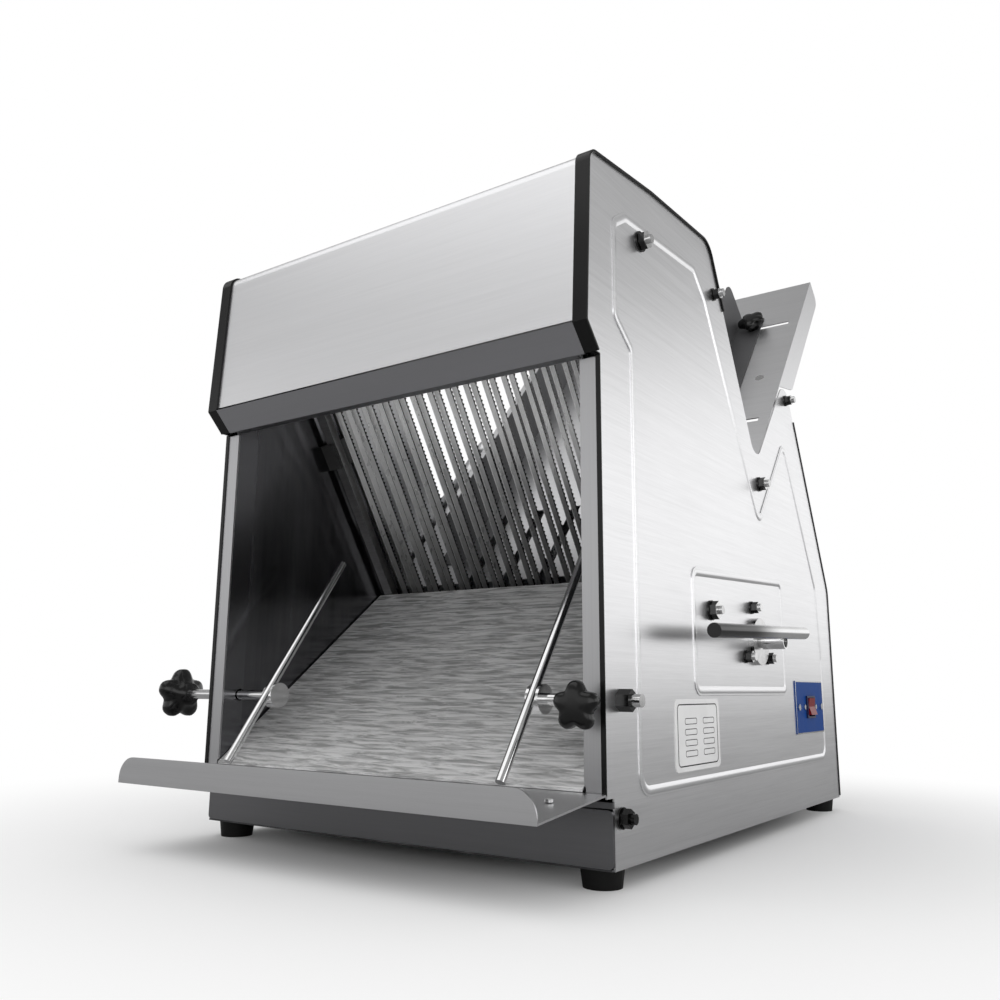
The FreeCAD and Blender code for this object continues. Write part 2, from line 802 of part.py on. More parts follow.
shell = box("-drawer_half", "drawer_half", "drawer_front_skin", "drawer_deep", "drawer_floor", "drawer_rim")
inside = box("drawer_skin - drawer_half", "drawer_half - drawer_skin", "drawer_front_skin + drawer_skin",
             "drawer_deep - drawer_skin", "drawer_floor + drawer_skin", "drawer_rim + 1")
ears = []
for side in (-1, 1):
    near = "(%d * (drawer_half + drawer_lap / 2) - drawer_lap / 2)" % side
    ears.append(box(near, near + " + drawer_lap", "base_step + 4", "drawer_deep", "drawer_rim - drawer_skin",
                    "drawer_rim"))
node("crumb_drawer", fuse(cut(shell, inside), *ears))

runner_top = "drawer_rim - drawer_skin - slide_gap"
runner = box("drawer_half + 2", WALL_IN, "base_step + 7", "drawer_deep + 5", runner_top + " - runner_tall",
             runner_top)
node("drawer_runners", runner, mirrored(runner))

# Chute and front tray
chute_reach = ("(cross_back + chute_foot_out + (cross_rise - chute_foot_rise) * tan(blade_lean)"
               " - chute_gap / cos(blade_lean)) / (1 + tan(chute_slope) * tan(blade_lean))")
CHUTE_TOP = ("-chute_foot_out + " + chute_reach, "chute_foot_rise + (%s) * tan(chute_slope)" % chute_reach)
node("discharge_chute", straight_sheet(("-chute_foot_out", "chute_foot_rise"), CHUTE_TOP,
                                       "chute_skin / cos(chute_slope)", "-chute_half", "2 * chute_half"))

lip_points = [
    ("-panel_half", "tray_low"),
    ("panel_half", "tray_low"),
    ("panel_half", "tray_low + tray_lip"),
    ("-panel_half", "tray_low + tray_lip"),
]
tray_lip = plate(lip_points, "-tray_reach", "tray_skin", [("tray_lip - 3", [2, 3])], "XZ_Plane")
tray_deck = tray_floor("-panel_half", "panel_half", "(-tray_reach)", "(-tray_seam)")
tray_tongue = tray_floor("1 - chute_half", "chute_half - 1", "(-tray_seam - 1)", "(tray_tongue - tray_seam)")
node("front_tray", fuse(tray_lip, tray_deck, tray_tongue))

# Blade frames, in the blade plane's own frame
def blade_frame(side, rod_at):
    """Side -1 is the frame in front of the blades, side 1 the one behind."""
    def slab(x0, x1, u0, u1):
        near = "%d * (bar_gap + bar_deep / 2) - bar_deep / 2" % side
        return box(x0, x1, near, near + " + bar_deep", u0, u1)
    parts = [
        slab("-bar_half", "bar_half", "bar_top - bar_tall", "bar_top"),
        slab("-bar_half", "bar_half", "-bar_low", "bar_tall - bar_low"),
    ]
    for hand in (-1, 1):
        near = "%d * (bar_half - upright_wide / 2) - upright_wide / 2" % hand
        parts.append(slab(near, near + " + upright_wide", "-bar_low", "bar_top"))
        lug_x = "%d * (%s + rod_wide / 2 + 4) - lug_wide / 2" % (hand, rod_at)
        window_wide = "(throw + pin_round + 1)"
        window_tall = "(2 * throw + pin_round + 1)"
        lug = box(lug_x, lug_x + " + lug_wide", "-%s - lug_skin" % window_wide, window_wide + " + lug_skin",
                  "-rod_pin_drop - %s - lug_skin" % window_tall, "-rod_pin_drop + %s + lug_skin" % window_tall)
        window = box(lug_x + " - 1", lug_x + " + lug_wide + 1", "-" + window_wide, window_wide,
                     "-rod_pin_drop - " + window_tall, "-rod_pin_drop + " + window_tall)
        neck_near = "%d * (bar_gap + 4) - 4" % side
        neck = box(lug_x, lug_x + " + lug_wide", neck_near, neck_near + " + 8",
                   "-rod_pin_drop + %s + 1" % window_tall, "-bar_low")
        parts += [cut(lug, window), neck]
    return parts


def blade_places(side):
    """The front frame has the odd places from the middle, the rear frame the even ones."""
    furthest = int(value("(bar_half - upright_wide - blade_skin - hook_wide) / blade_pitch"))
    odd = 1 if side < 0 else 0
    return ["(%d * blade_pitch)" % i for i in range(-furthest, furthest + 1) if i % 2 == odd]


def hooks(side):
    parts = []
    for x in blade_places(side):
        for low in ("bar_top - bar_tall / 2 - hook_tall / 2", "bar_tall / 2 - bar_low - hook_tall / 2"):
            near = "bar_gap - 3" if side > 0 else "-bar_gap"
            parts.append(box(x + " + blade_skin / 2", x + " + blade_skin / 2 + hook_wide / 2", near,
                             near + " + 3", low, low + " + hook_tall"))
    return parts


def blades(side):
    near = "%d * blade_shift - blade_wide / 2" % side
    return [box(x + " - blade_skin / 2", x + " + blade_skin / 2", near, near + " + blade_wide",
                "2 - bar_low", "bar_top - 2") for x in blade_places(side)]


on_blades("front_blade_frame", fuse(*blade_frame(-1, "front_rod_at"), *hooks(-1)))
on_blades("rear_blade_frame", fuse(*blade_frame(1, "rear_rod_at"), *hooks(1)))
on_blades("front_blades", *blades(-1))
on_blades("rear_blades", *blades(1))


def frame_guide(low):
    block = box("bar_half - 10", WALL_IN, "-guide_deep", "guide_deep", low, low + " + guide_long")
    slots = []
    for side in (-1, 1):
        near = "%d * (bar_gap + bar_deep / 2) - bar_deep / 2 - fit_gap" % side
        slots.append(box("bar_half - upright_wide - 1", "bar_half + fit_gap", near,
                         near + " + bar_deep + 2 * fit_gap", low + " - 1", low + " + guide_long + 1"))
    return cut(block, *slots)


guide_blocks = []
for low in ("-guide_low", "guide_high"):
    guide_blocks += [frame_guide(low), mirrored(frame_guide(low))]
on_blades("frame_guides", *guide_blocks)

# Crankshaft, straps and rods, in the blade plane's frame
crank_shaft = rod("crank_round", "pulley_at + pulley_wide / 2 + 1 + bearing_at + bearing_wide / 2 + 2",
                  "-pulley_at - pulley_wide / 2 - 1", "0", "-crank_drop")
discs = []
for at, side in (("front_rod_at", 1), ("rear_rod_at", -1)):
    for hand in (-1, 1):
        discs.append(rod("disc_round", "rod_wide + 2", "%d * %s - rod_wide / 2 - 1" % (hand, at),
                         "%d * throw" % side, "-crank_drop"))
on_blades("crankshaft", fuse(crank_shaft, *discs))


def connecting_rod(at, side, hand):
    x = "%d * %s - rod_wide / 2" % (hand, at)
    y = "%d * throw" % side
    strap = rod("disc_round + strap_skin", "rod_wide", x, y, "-crank_drop")
    shank = box(x, x + " + rod_wide", y + " - 5", y + " + 5", "disc_round + 2 - crank_drop",
                "-rod_pin_drop")
    eye = rod("8", "rod_wide", x, y, "-rod_pin_drop")
    pin_start = x if hand > 0 else x + " - lug_wide - 6"
    pin = rod("pin_round", "rod_wide + lug_wide + 6", pin_start, y, "-rod_pin_drop")
    bore = rod("disc_round + run_gap", "rod_wide + 2", x + " - 1", y, "-crank_drop")
    return cut(fuse(strap, shank, eye, pin), bore)


for name, at, side in (("front_connecting_rods", "front_rod_at", 1), ("rear_connecting_rods", "rear_rod_at", -1)):
    on_blades(name, connecting_rod(at, side, 1), connecting_rod(at, side, -1))

pulley = cut(rod("pulley_round", "pulley_wide", "-pulley_at - pulley_wide / 2", CRANK[0], CRANK[1]),
             rod("crank_round", "pulley_wide + 2", "-pulley_at - pulley_wide / 2 - 1", CRANK[0], CRANK[1]))
node("large_pulley", pulley)
shaft_bearings = []
for side in (-1, 1):
    x = "%d * bearing_at - bearing_wide / 2" % side
    block = box(x, x + " + bearing_wide", CRANK[0] + " - bearing_half", CRANK[0] + " + bearing_half",
                "foot_tall + pan_skin", CRANK[1] + " + bearing_half - 2")
    shaft_bearings.append(cut(block, rod("crank_round + run_gap", "bearing_wide + 2", x + " - 1",
                                         CRANK[0], CRANK[1])))
node("crank_bearings", *shaft_bearings)

# Motor, its pulley and the belt
node("motor", rod("motor_round", "motor_left + motor_right", "-motor_left", "motor_back", "motor_rise"))
cradle = box("30 - motor_left", "motor_right - 30", "motor_back - cradle_half", "motor_back + cradle_half",
             "foot_tall + pan_skin", "cradle_top")
node("motor_bracket", cut(cradle, rod("motor_round", "motor_left + motor_right", "-motor_left", "motor_back",
                                      "motor_rise")))
node("motor_shaft", rod("motor_shaft_round", "pulley_at + pulley_wide / 2 - motor_left",
                        "-pulley_at - pulley_wide / 2", "motor_back", "motor_rise"))
node("motor_pulley", cut(
    rod("motor_pulley_round", "pulley_wide", "-pulley_at - pulley_wide / 2", "motor_back", "motor_rise"),
    rod("motor_shaft_round", "pulley_wide + 2", "-pulley_at - pulley_wide / 2 - 1", "motor_back", "motor_rise")))


def belt_loop(grow):
    """The face inside a belt over both pulleys, grown outwards."""
    y0, z0 = value(CRANK[0]), value(CRANK[1])
    y1, z1 = value("motor_back"), value("motor_rise")
    r0, r1 = value("pulley_round") + grow, value("motor_pulley_round") + grow
    along = math.atan2(z1 - z0, y1 - y0)
    spread = math.acos((r0 - r1) / math.hypot(y1 - y0, z1 - z0))
    def at(y, z, r, angle):
        return FreeCAD.Vector(0, y + r * math.cos(angle), z + r * math.sin(angle))
    top, low = along + spread, along - spread
    edges = [
        Part.LineSegment(at(y0, z0, r0, top), at(y1, z1, r1, top)).toShape(),
        Part.Arc(at(y1, z1, r1, top), at(y1, z1, r1, along), at(y1, z1, r1, low)).toShape(),
        Part.LineSegment(at(y1, z1, r1, low), at(y0, z0, r0, low)).toShape(),
        Part.Arc(at(y0, z0, r0, low), at(y0, z0, r0, along + math.pi), at(y0, z0, r0, top)).toShape(),
    ]
    return Part.Face(Part.Wire(edges))


belt = doc.addObject("Part::Feature", "Belt")
belt_face = belt_loop(value("belt_tall")).cut(belt_loop(0.2))
belt.Shape = belt_face.extrude(FreeCAD.Vector(value("belt_wide"), 0, 0))
place(belt, "-pulley_at - belt_wide / 2", "0", "0")
node("drive_belt", belt)

# Pusher, its bearings and the handle
node("pusher_shaft", rod("pusher_round", PANEL_IN + " - 3 + handle_at - handle_round", "3 - " + PANEL_IN,
                         "pusher_back", "pusher_rise"))
fingers = []
for i in range(-2, 3):
    x = "%d * finger_pitch" % i
    collar = rod("collar_round", "collar_wide", x + " - collar_wide / 2", "0", "0")
    finger = rod("finger_round", "finger_long", x, "0", "0", "Z")
    bore = rod("pusher_round", "collar_wide + 2", x + " - collar_wide / 2 - 1", "0", "0")
    fingers.append(cut(fuse(collar, finger), bore))
node("pusher_fingers", *fingers, at=("pusher_back", "pusher_rise"), turn="finger_lean - 90")

housing = cut(rod("boss_round", "boss_tall", "panel_half", "pusher_back", "pusher_rise"),
              rod("pusher_round + run_gap", "boss_tall + 2", "panel_half - 1", "pusher_back", "pusher_rise"))
left_housing = cut(rod("boss_round", "12", "-" + PANEL_IN, "pusher_back", "pusher_rise"),
                   rod("pusher_round + run_gap", "20", "-" + PANEL_IN + " + 2", "pusher_back", "pusher_rise"))
node("bearing_housings", housing, left_housing)



def handle_bar():
    """The bar over the shaft's end, rising a little to the rear."""
    bar = rod("handle_round", "handle_long", "0", "0", "0", "Z")
    start = "pusher_rise + handle_above - (pusher_back - handle_front) * tan(handle_tilt)"
    return place(bar, "handle_at", "handle_front", start, (-1, 0, 0), "90 - handle_tilt")


node("handle_bar", handle_bar())
hub = rod("hub_round", "handle_out - boss_tall - hub_gap", "panel_half + boss_tall + hub_gap", "pusher_back",
          "pusher_rise")
hub_bore = rod("pusher_round", "handle_out + 10", "panel_half", "pusher_back", "pusher_rise")
node("handle_hub", cut(hub, hub_bore, handle_bar()))

# Feed plate and its guides, on the plate's own frame
deck = box("-feed_half", "feed_half", "feed_low", "feed_top", "-feed_skin", "0")
side_flanges = []
for side in (-1, 1):
    near = "%d * (feed_half - feed_skin / 2) - feed_skin / 2" % side
    side_points = [
        ("flange_low", "-feed_skin"),
        ("flange_low + 40", "-flange_deep"),
        ("feed_top", "-flange_deep"),
        ("feed_top", "-feed_skin"),
    ]
    side_flanges.append(plate(side_points, near, "feed_skin", [("flange_round", [1, 2])]))
slots = []
for side in (-1, 1):
    for along in ("slot_low", "slot_high"):
        near = "%d * (slot_in + slot_out) / 2 - (slot_out - slot_in) / 2" % side
        slots.append(box(near, near + " + slot_out - slot_in", along + " - slot_wide / 2",
                         along + " + slot_wide / 2", "-feed_skin - 1", "1"))
for i in range(-2, 3):
    x = "%d * finger_pitch" % i
    slots.append(box(x + " - finger_slot_wide / 2", x + " + finger_slot_wide / 2", "feed_low - 1",
                     "finger_slot_top", "-feed_skin - 1", "1"))


def feed_screw(side, radius, low, high):
    """A cylinder on a plate screw's axis, between two heights above the plate's top."""
    return rod(radius, "(%s) - (%s)" % (high, low), "%d * (feed_half - feed_screw_in)" % side, "feed_screw_up",
               low, "Z")


screw_seats = [feed_screw(side, "feed_head_round + run_gap", "-feed_skin - 1", "1") for side in (-1, 1)]
on_feed("feed_plate", fuse(cut(deck, *slots, *screw_seats), *side_flanges))


def feed_guide():
    fence_points = [
        ("fence_low", "0"),
        ("fence_low", "fence_tall"),
        ("fence_top", "fence_tall"),
        ("fence_top", "0"),
    ]
    fence = plate(fence_points, "fence_at", "fence_skin", [("fence_round", [1, 2])])
    flange = box("fence_at", "fence_at + guide_flange", "fence_low", "fence_top - 12", "0.3", "0.3 + fence_skin")
    parts = [fence, flange]
    for along in ("slot_low", "slot_high"):
        parts.append(rod("stud_round", "stud_deep + 6", "stud_at", along, "-stud_deep", "Z"))
        parts.append(rod("stud_round + 3", "2.5", "stud_at", along, "-feed_skin - 2.8", "Z"))
    foot = box("fence_at - 1", "fence_at + 3", "fence_low - 1", "fence_top + 1", "-1", "0.3")
    return cut(fuse(*parts), foot)


on_feed("right_feed_guide", feed_guide())
on_feed("left_feed_guide", mirrored(feed_guide()))


def star_knob(core, ring_radius, lobe, tall, x, y, z, along):
    """Five lobes round a core, with its foot at a point."""
    parts = [rod(core, tall, x, y, z, along)]
    for i in range(5):
        first = "(%s) * cos(%d)" % (ring_radius, 90 + 72 * i)
        second = "(%s) * sin(%d)" % (ring_radius, 90 + 72 * i)
        lift = "knob_foot"
        steps = {"X": (lift, first, second), "Y": (first, lift, second), "Z": (first, second, lift)}[along]
        spot = ["(%s) + %s" % (start, step) for start, step in zip((x, y, z), steps)]
        parts.append(rod(lobe, "(%s) - knob_foot - 1" % tall, *spot, along))
    return fuse(*parts)


def feed_knob():
    knob = star_knob("knob_core", "knob_ring", "knob_lobe", "knob_tall", "stud_at", "slot_high",
                     "0.6 + fence_skin", "Z")
    return cut(knob, rod("stud_round + run_gap", "8", "stud_at", "slot_high", "-1", "Z"))


on_feed("right_guide_knob", feed_knob())
on_feed("left_guide_knob", mirrored(feed_knob()))


# Guard rods at the front opening
def guard_rod():
    return place(rod("guard_round", "guard_long", "0", "0", "0", "Z"), "guard_at", "-guard_foot_out",
                 "guard_foot_rise", (-1, 0, 0), "90 - guard_slope")


def guard_stud(end):
    stud = rod("guard_stud_round", "%s - guard_at + clamp_half" % end, "guard_at - clamp_half", "guard_back",
               "guard_rise")
    block = rod("clamp_round", "2 * clamp_half", "guard_at - clamp_half", "guard_back", "guard_rise")
    return cut(fuse(stud, block), guard_rod())


node("right_guard_rod", guard_rod())
node("left_guard_rod", mirrored(guard_rod()))
node("right_guard_stud", guard_stud("right_stud_end"))
node("left_guard_stud", mirrored(guard_stud("left_knob_at")))
knob_front = "(-post_front - clamp_knob_out - knob_tall)"
right_knob = star_knob("knob_core", "knob_ring", "knob_lobe", "knob_tall", "clamp_knob_at", knob_front,
                       "guard_rise - clamp_knob_drop", "Y")
screw = clamp_screw("clamp_screw_round", knob_front + " + 2", "guard_back - clamp_screw_tip")
node("right_guard_knob", fuse(right_knob, screw))
left_knob = star_knob("big_knob_core", "big_knob_ring", "big_knob_lobe", "big_knob_tall",
                      "left_knob_at - big_knob_tall / 2", "guard_back", "guard_rise", "X")
left_bore = rod("guard_stud_round + run_gap", "big_knob_tall / 2 + 1.3", "left_knob_at - big_knob_tall / 2 - 1",
                "guard_back", "guard_rise")
node("left_guard_knob", mirrored(cut(left_knob, left_bore)))
bush = cut(hexagon("bush_round", "bush_tall", "panel_half", "guard_back", "guard_rise"),
           rod("guard_stud_round + run_gap", "bush_tall + 2", "panel_half - 1", "guard_back", "guard_rise"))
node("guard_bushes", bush, mirrored(bush))

# Tie rods with turned-down threaded ends, nuts and screws
rods = []
for y, z, nut in TIE_RODS:
    middle = rod("tie_round", "2 * " + PANEL_IN, "-" + PANEL_IN, y, z)
    ends = rod("thread_round", "2 * (panel_half + thread_out)", "-panel_half - thread_out", y, z)
    rods.append(fuse(middle, ends))
node("tie_rods", *rods)


def fastener(y, z, nut, *more):
    """A washer and a nut on the side, and what else belongs to that bolt."""
    washer = rod(nut + " + 0.8", "washer_skin", "panel_half", y, z)
    body = hexagon(nut, "nut_tall", "panel_half + washer_skin", y, z)
    return fuse(washer, body, *more)


def side_nuts():
    parts = []
    for y, z, nut in TIE_RODS + [CORNER_BOLT]:
        hole = rod("thread_round", "washer_skin + nut_tall + 2", "panel_half - 1", y, z)
        parts.append(cut(fastener(y, z, nut), hole))
    y, z, nut = CORNER_BOLT
    parts.append(rod("thread_round", "panel_half + thread_out - wall_half", "wall_half", y, z))
    return parts


boss_nuts = []
for angle in BOSS_BOLT_ANGLES:
    y = "pusher_back + boss_bolts * cos(%d)" % angle
    z = "pusher_rise + boss_bolts * sin(%d)" % angle
    stub = rod("thread_round", "boss_thread_out", "panel_half", y, z)
    boss_nuts.append(fastener(y, z, "small_nut", stub))
node("right_side_nuts", *side_nuts(), *boss_nuts)
node("left_side_nuts", mirrored(group(*side_nuts())))

# Nameplate and switch
def right_plate(front, low, long, tall, skin, radius, start):
    points = [
        (front, low),
        ("%s + %s" % (front, long), low),
        ("%s + %s" % (front, long), "%s + %s" % (low, tall)),
        (front, "%s + %s" % (low, tall)),
    ]
    return plate(points, start, skin, [(radius, [0, 1, 2, 3])])


node("nameplate", right_plate("name_front", "name_low", "name_long", "name_tall", "name_skin", "name_round",
                              "panel_half"))
long_half = "(bezel_long / 2 - 2.5)"
tall_half = "(bezel_tall / 2 - 1.5)"
cavity = box("panel_half - switch_deep + 2", "panel_half + 10",
             "switch_back - rocker_half_long - 0.5", "switch_back + rocker_half_long + 0.5",
             "switch_rise - rocker_half_tall - 1.1", "switch_rise + rocker_half_tall + 1.1")
plate_start = "panel_half"
face = right_plate("switch_back - plate_long / 2", "switch_rise - plate_tall / 2", "plate_long", "plate_tall",
                   "plate_skin", "2", plate_start)
opening = box("panel_half - 1", "panel_half + 10", "switch_back - " + long_half, "switch_back + " + long_half,
              "switch_rise - " + tall_half, "switch_rise + " + tall_half)
node("switch_plate", cut(face, opening))
neck = box("panel_half - switch_deep", "panel_half + plate_skin", "switch_back - " + long_half,
           "switch_back + " + long_half, "switch_rise - " + tall_half, "switch_rise + " + tall_half)
bezel = box("panel_half + plate_skin", "panel_half + plate_skin + bezel_skin",
            "switch_back - bezel_long / 2", "switch_back + bezel_long / 2",
            "switch_rise - bezel_tall / 2", "switch_rise + bezel_tall / 2")
node("switch_body", cut(fuse(neck, bezel), cavity))

rocker_points = [
    ("-7", "-8"),
    ("6.5", "-rocker_half_tall"),
    ("4.5", "0"),
    ("6.5", "rocker_half_tall"),
    ("-7", "8"),
]
rocker = plate(rocker_points, "-rocker_half_long", "2 * rocker_half_long", (), "XZ_Plane")
place(rocker, "panel_half - 1", "switch_back - rocker_half_long", "switch_rise", (0, 1, 0), "-rocker_tilt")
node("switch_rocker", rocker)

screws = []
for y in ("switch_back - plate_long / 2 + 9", "switch_back + plate_long / 2 - 9"):
    screws.append(rod("screw_round", "screw_tall", "panel_half + plate_skin", y, "switch_rise"))
for side in (-1, 1):
    height = "chute_foot_rise - tray_drop - (tray_screw_out - 8 - screw_round) * tan(tray_slope)"
    screws.append(rod("screw_round", "screw_tall + 0.5", "%d * (chute_half - tray_screw_in)" % side,
                      "-tray_screw_out", height, "Z"))
on_plate = []
for side in (-1, 1):
    head = feed_screw(side, "feed_head_round", "-feed_skin - screw_tall", "0")
    nut = feed_screw(side, "feed_head_round + 2", "-feed_skin - screw_tall", "-feed_skin")
    on_plate.append(fuse(head, nut))
screws.append(place(group(*on_plate), "0", "cross_back", "cross_rise", (1, 0, 0), "feed_slope"))
node("cover_screws", *screws)

doc.recompute()
faults = []
for thing in doc.Objects:
    if any(word in state for state in thing.State for word in ("Invalid", "Error")):
        faults.append("%s (%s) did not compute" % (thing.Name, thing.Label))
for name, piece in nodes.items():
    if piece.Shape.isNull() or not piece.Shape.isValid() or not piece.Shape.Solids:
        faults.append(name + " is not a valid solid")
if faults:
    raise RuntimeError("; ".join(faults))

os.makedirs("parts", exist_ok=True)
for name, piece in nodes.items():
    piece.Shape.exportStep(os.path.join("parts", name + ".step"))
print("%d nodes" % len(nodes))
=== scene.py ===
import json
import math

import bmesh
import bpy
from mathutils import Matrix, Vector


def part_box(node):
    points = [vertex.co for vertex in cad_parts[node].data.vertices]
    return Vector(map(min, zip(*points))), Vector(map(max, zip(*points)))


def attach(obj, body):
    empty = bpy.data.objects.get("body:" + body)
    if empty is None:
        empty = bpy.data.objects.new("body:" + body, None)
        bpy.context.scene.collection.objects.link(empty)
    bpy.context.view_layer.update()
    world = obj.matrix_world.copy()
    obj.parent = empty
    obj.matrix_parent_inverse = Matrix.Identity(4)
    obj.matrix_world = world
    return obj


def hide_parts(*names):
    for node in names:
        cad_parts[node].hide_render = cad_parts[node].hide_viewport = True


# Electric bread slicer. Lengths are in metres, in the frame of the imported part:
# X to the machine's right side, Y to the rear, Z up, the floor at z = 0.

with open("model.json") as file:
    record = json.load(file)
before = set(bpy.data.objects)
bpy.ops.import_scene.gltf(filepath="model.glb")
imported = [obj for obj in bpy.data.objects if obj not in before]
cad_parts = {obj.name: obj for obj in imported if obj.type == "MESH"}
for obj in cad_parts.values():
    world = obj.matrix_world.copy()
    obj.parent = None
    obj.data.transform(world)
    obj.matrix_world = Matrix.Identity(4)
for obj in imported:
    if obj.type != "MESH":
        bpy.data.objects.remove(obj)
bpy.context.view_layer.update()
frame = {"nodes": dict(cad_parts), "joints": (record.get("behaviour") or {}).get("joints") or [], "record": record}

MM = 0.001
NODES = frame["nodes"]
SLOT_OF = {s["node"]: s["material_slot"] for s in frame["record"]["subparts"]}
JOINTS = {j["name"]: j for j in frame["joints"]}
RIGHT_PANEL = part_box("right_side_panel")
LEFT_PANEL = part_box("left_side_panel")
MIDDLE_X = (RIGHT_PANEL[1].x + LEFT_PANEL[0].x) / 2
BASE_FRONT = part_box("base_pan")[0].y
# How far out of the middle the side panels' skin is, and where the bright thread ends begin
SKIN_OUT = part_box("nameplate")[0].x - MIDDLE_X
THREAD_TIP = 4.2 * MM
THREAD_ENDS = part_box("right_side_nuts")[1].x - MIDDLE_X - THREAD_TIP


# Material nodes

# A mix node's colour sockets go by number: its two inputs and its output
MIX_A, MIX_B, MIX_OUT = 6, 7, 2


class Shader:
    """A material whose nodes are added by short calls. Object coordinates are the part's own, in metres."""

    def __init__(self, name):
        self.material = bpy.data.materials.new(name)
        self.material.use_nodes = True
        self.tree = self.material.node_tree
        self.surface = self.tree.nodes["Principled BSDF"]
        self.place = self.add("ShaderNodeTexCoord").outputs["Object"]

    def add(self, kind, **settings):
        made = self.tree.nodes.new(kind)
        for key, value in settings.items():
            setattr(made, key, value)
        return made

    def link(self, source, target):
        self.tree.links.new(source, target)

    def set(self, **values):
        """Constants on the surface's own sockets; an underscore stands for a space in a socket's name."""
        for key, value in values.items():
            self.surface.inputs[key.replace("_", " ")].default_value = value

    def feed(self, socket, source):
        self.link(source, self.surface.inputs[socket])

    def noise(self, stretch, detail=4.0, rough=0.6, warp=0.0):
        """Noise whose grain is as many times per metre along X, Y and Z as stretch says."""
        mapping = self.add("ShaderNodeMapping")
        mapping.inputs["Scale"].default_value = stretch
        self.link(self.place, mapping.inputs["Vector"])
        made = self.add("ShaderNodeTexNoise")
        made.inputs["Scale"].default_value = 1.0
        made.inputs["Detail"].default_value = detail
        made.inputs["Roughness"].default_value = rough
        made.inputs["Distortion"].default_value = warp
        self.link(mapping.outputs["Vector"], made.inputs["Vector"])
        return made.outputs["Fac"]

    def level(self, source, low, high, start=0.3, end=0.7, steps=False):
        """The source's values from start to end, as values from low to high."""
        made = self.add("ShaderNodeMapRange")
        if steps:
            made.interpolation_type = "SMOOTHSTEP"
        for key, value in (("From Min", start), ("From Max", end), ("To Min", low), ("To Max", high)):
            made.inputs[key].default_value = value
        self.link(source, made.inputs["Value"])
        return made.outputs["Result"]

    def math(self, operation, first, second):
        made = self.add("ShaderNodeMath", operation=operation)
        for socket, value in zip(made.inputs, (first, second)):
            if isinstance(value, (int, float)):
                socket.default_value = value
            else:
                self.link(value, socket)
        return made.outputs["Value"]

    def axis(self, letter):
        split = self.add("ShaderNodeSeparateXYZ")
        self.link(self.place, split.inputs["Vector"])
        return split.outputs[letter]

    def mix(self, share, first, second):
        """The first colour where the share is 0 and the second where it is 1."""
        made = self.add("ShaderNodeMix", data_type="RGBA")
        self.link(share, made.inputs["Factor"])
        for socket, value in ((made.inputs[MIX_A], first), (made.inputs[MIX_B], second)):
            if isinstance(value, tuple):
                socket.default_value = (*value, 1.0)
            else:
                self.link(value, socket)
        return made.outputs[MIX_OUT]

    def shade(self, colour, factor):
        """The colour, as dark or bright as the factor says."""
        made = self.add("ShaderNodeMix", data_type="RGBA", blend_type="MULTIPLY")
        made.inputs["Factor"].default_value = 1.0
        if isinstance(colour, tuple):
            made.inputs[MIX_A].default_value = (*colour, 1.0)
        else:
            self.link(colour, made.inputs[MIX_A])
        self.link(factor, made.inputs[MIX_B])
        return made.outputs[MIX_OUT]

    def bump(self, height, strength, distance):
        made = self.add("ShaderNodeBump")
        made.inputs["Strength"].default_value = strength
        made.inputs["Distance"].default_value = distance
        self.link(height, made.inputs["Height"])
        self.feed("Normal", made.outputs["Normal"])


def grain(along, coarse, fine):
    """How often noise repeats per metre: seldom along the brushing and often across it."""
    return tuple(coarse if letter == along else fine for letter in "XYZ")


def brushed(name, colour, along, rough, contrast, long_streak=2.5, wide_streak=300.0):
    """Sheet steel brushed along one axis, with long soft streaks over a fine grain."""
    shader = Shader(name)
    streaks = shader.noise(grain(along, long_streak, wide_streak), detail=3.0)
    hairs = shader.noise(grain(along, 22.0, 1500.0), detail=2.0)
    clouds = shader.noise((4.0, 4.0, 4.0), detail=2.0)
    streaky = shader.level(streaks, -contrast, contrast)
    hairy = shader.level(hairs, -contrast, contrast)
    tone = shader.math("ADD", streaky, hairy)
    tone = shader.math("ADD", tone, shader.level(clouds, 1.0 - contrast, 1.0))
    shader.feed("Base Color", shader.shade(colour, tone))
    shader.feed("Roughness", shader.level(streaks, rough * 0.95, rough * 1.05))
    shader.bump(hairs, 0.04, 0.0001)
    shader.set(Metallic=1.0)
    return shader.material


def coated(name, colour, rough, metallic=0.0, grains=900.0, relief=0.1, shine=0.5):
    """Paint, plastic or rubber with a fine uneven skin."""
    shader = Shader(name)
    skin = shader.noise((grains, grains, grains), detail=3.0)
    clouds = shader.noise((14.0, 14.0, 14.0), detail=3.0)
    shader.feed("Base Color", shader.shade(colour, shader.level(clouds, 0.86, 1.0)))
    shader.feed("Roughness", shader.level(clouds, rough * 0.85, rough * 1.15))
    shader.bump(skin, relief, 0.0003)
    shader.set(Metallic=metallic, Specular_IOR_Level=shine)
    return shader.material


def polished(name, colour, rough):
    """Turned or plated metal, smooth, with faint marks."""
    shader = Shader(name)
    marks = shader.noise((160.0, 160.0, 160.0), detail=4.0)
    clouds = shader.noise((30.0, 30.0, 30.0), detail=2.0)
    shader.feed("Base Color", shader.shade(colour, shader.level(clouds, 0.9, 1.0)))
    shader.feed("Roughness", shader.level(marks, rough * 0.7, rough * 1.3))
    shader.bump(marks, 0.03, 0.0003)
    shader.set(Metallic=1.0)
    return shader.material


def grey(level, blue=0.0):
    return (level, level, level + blue)


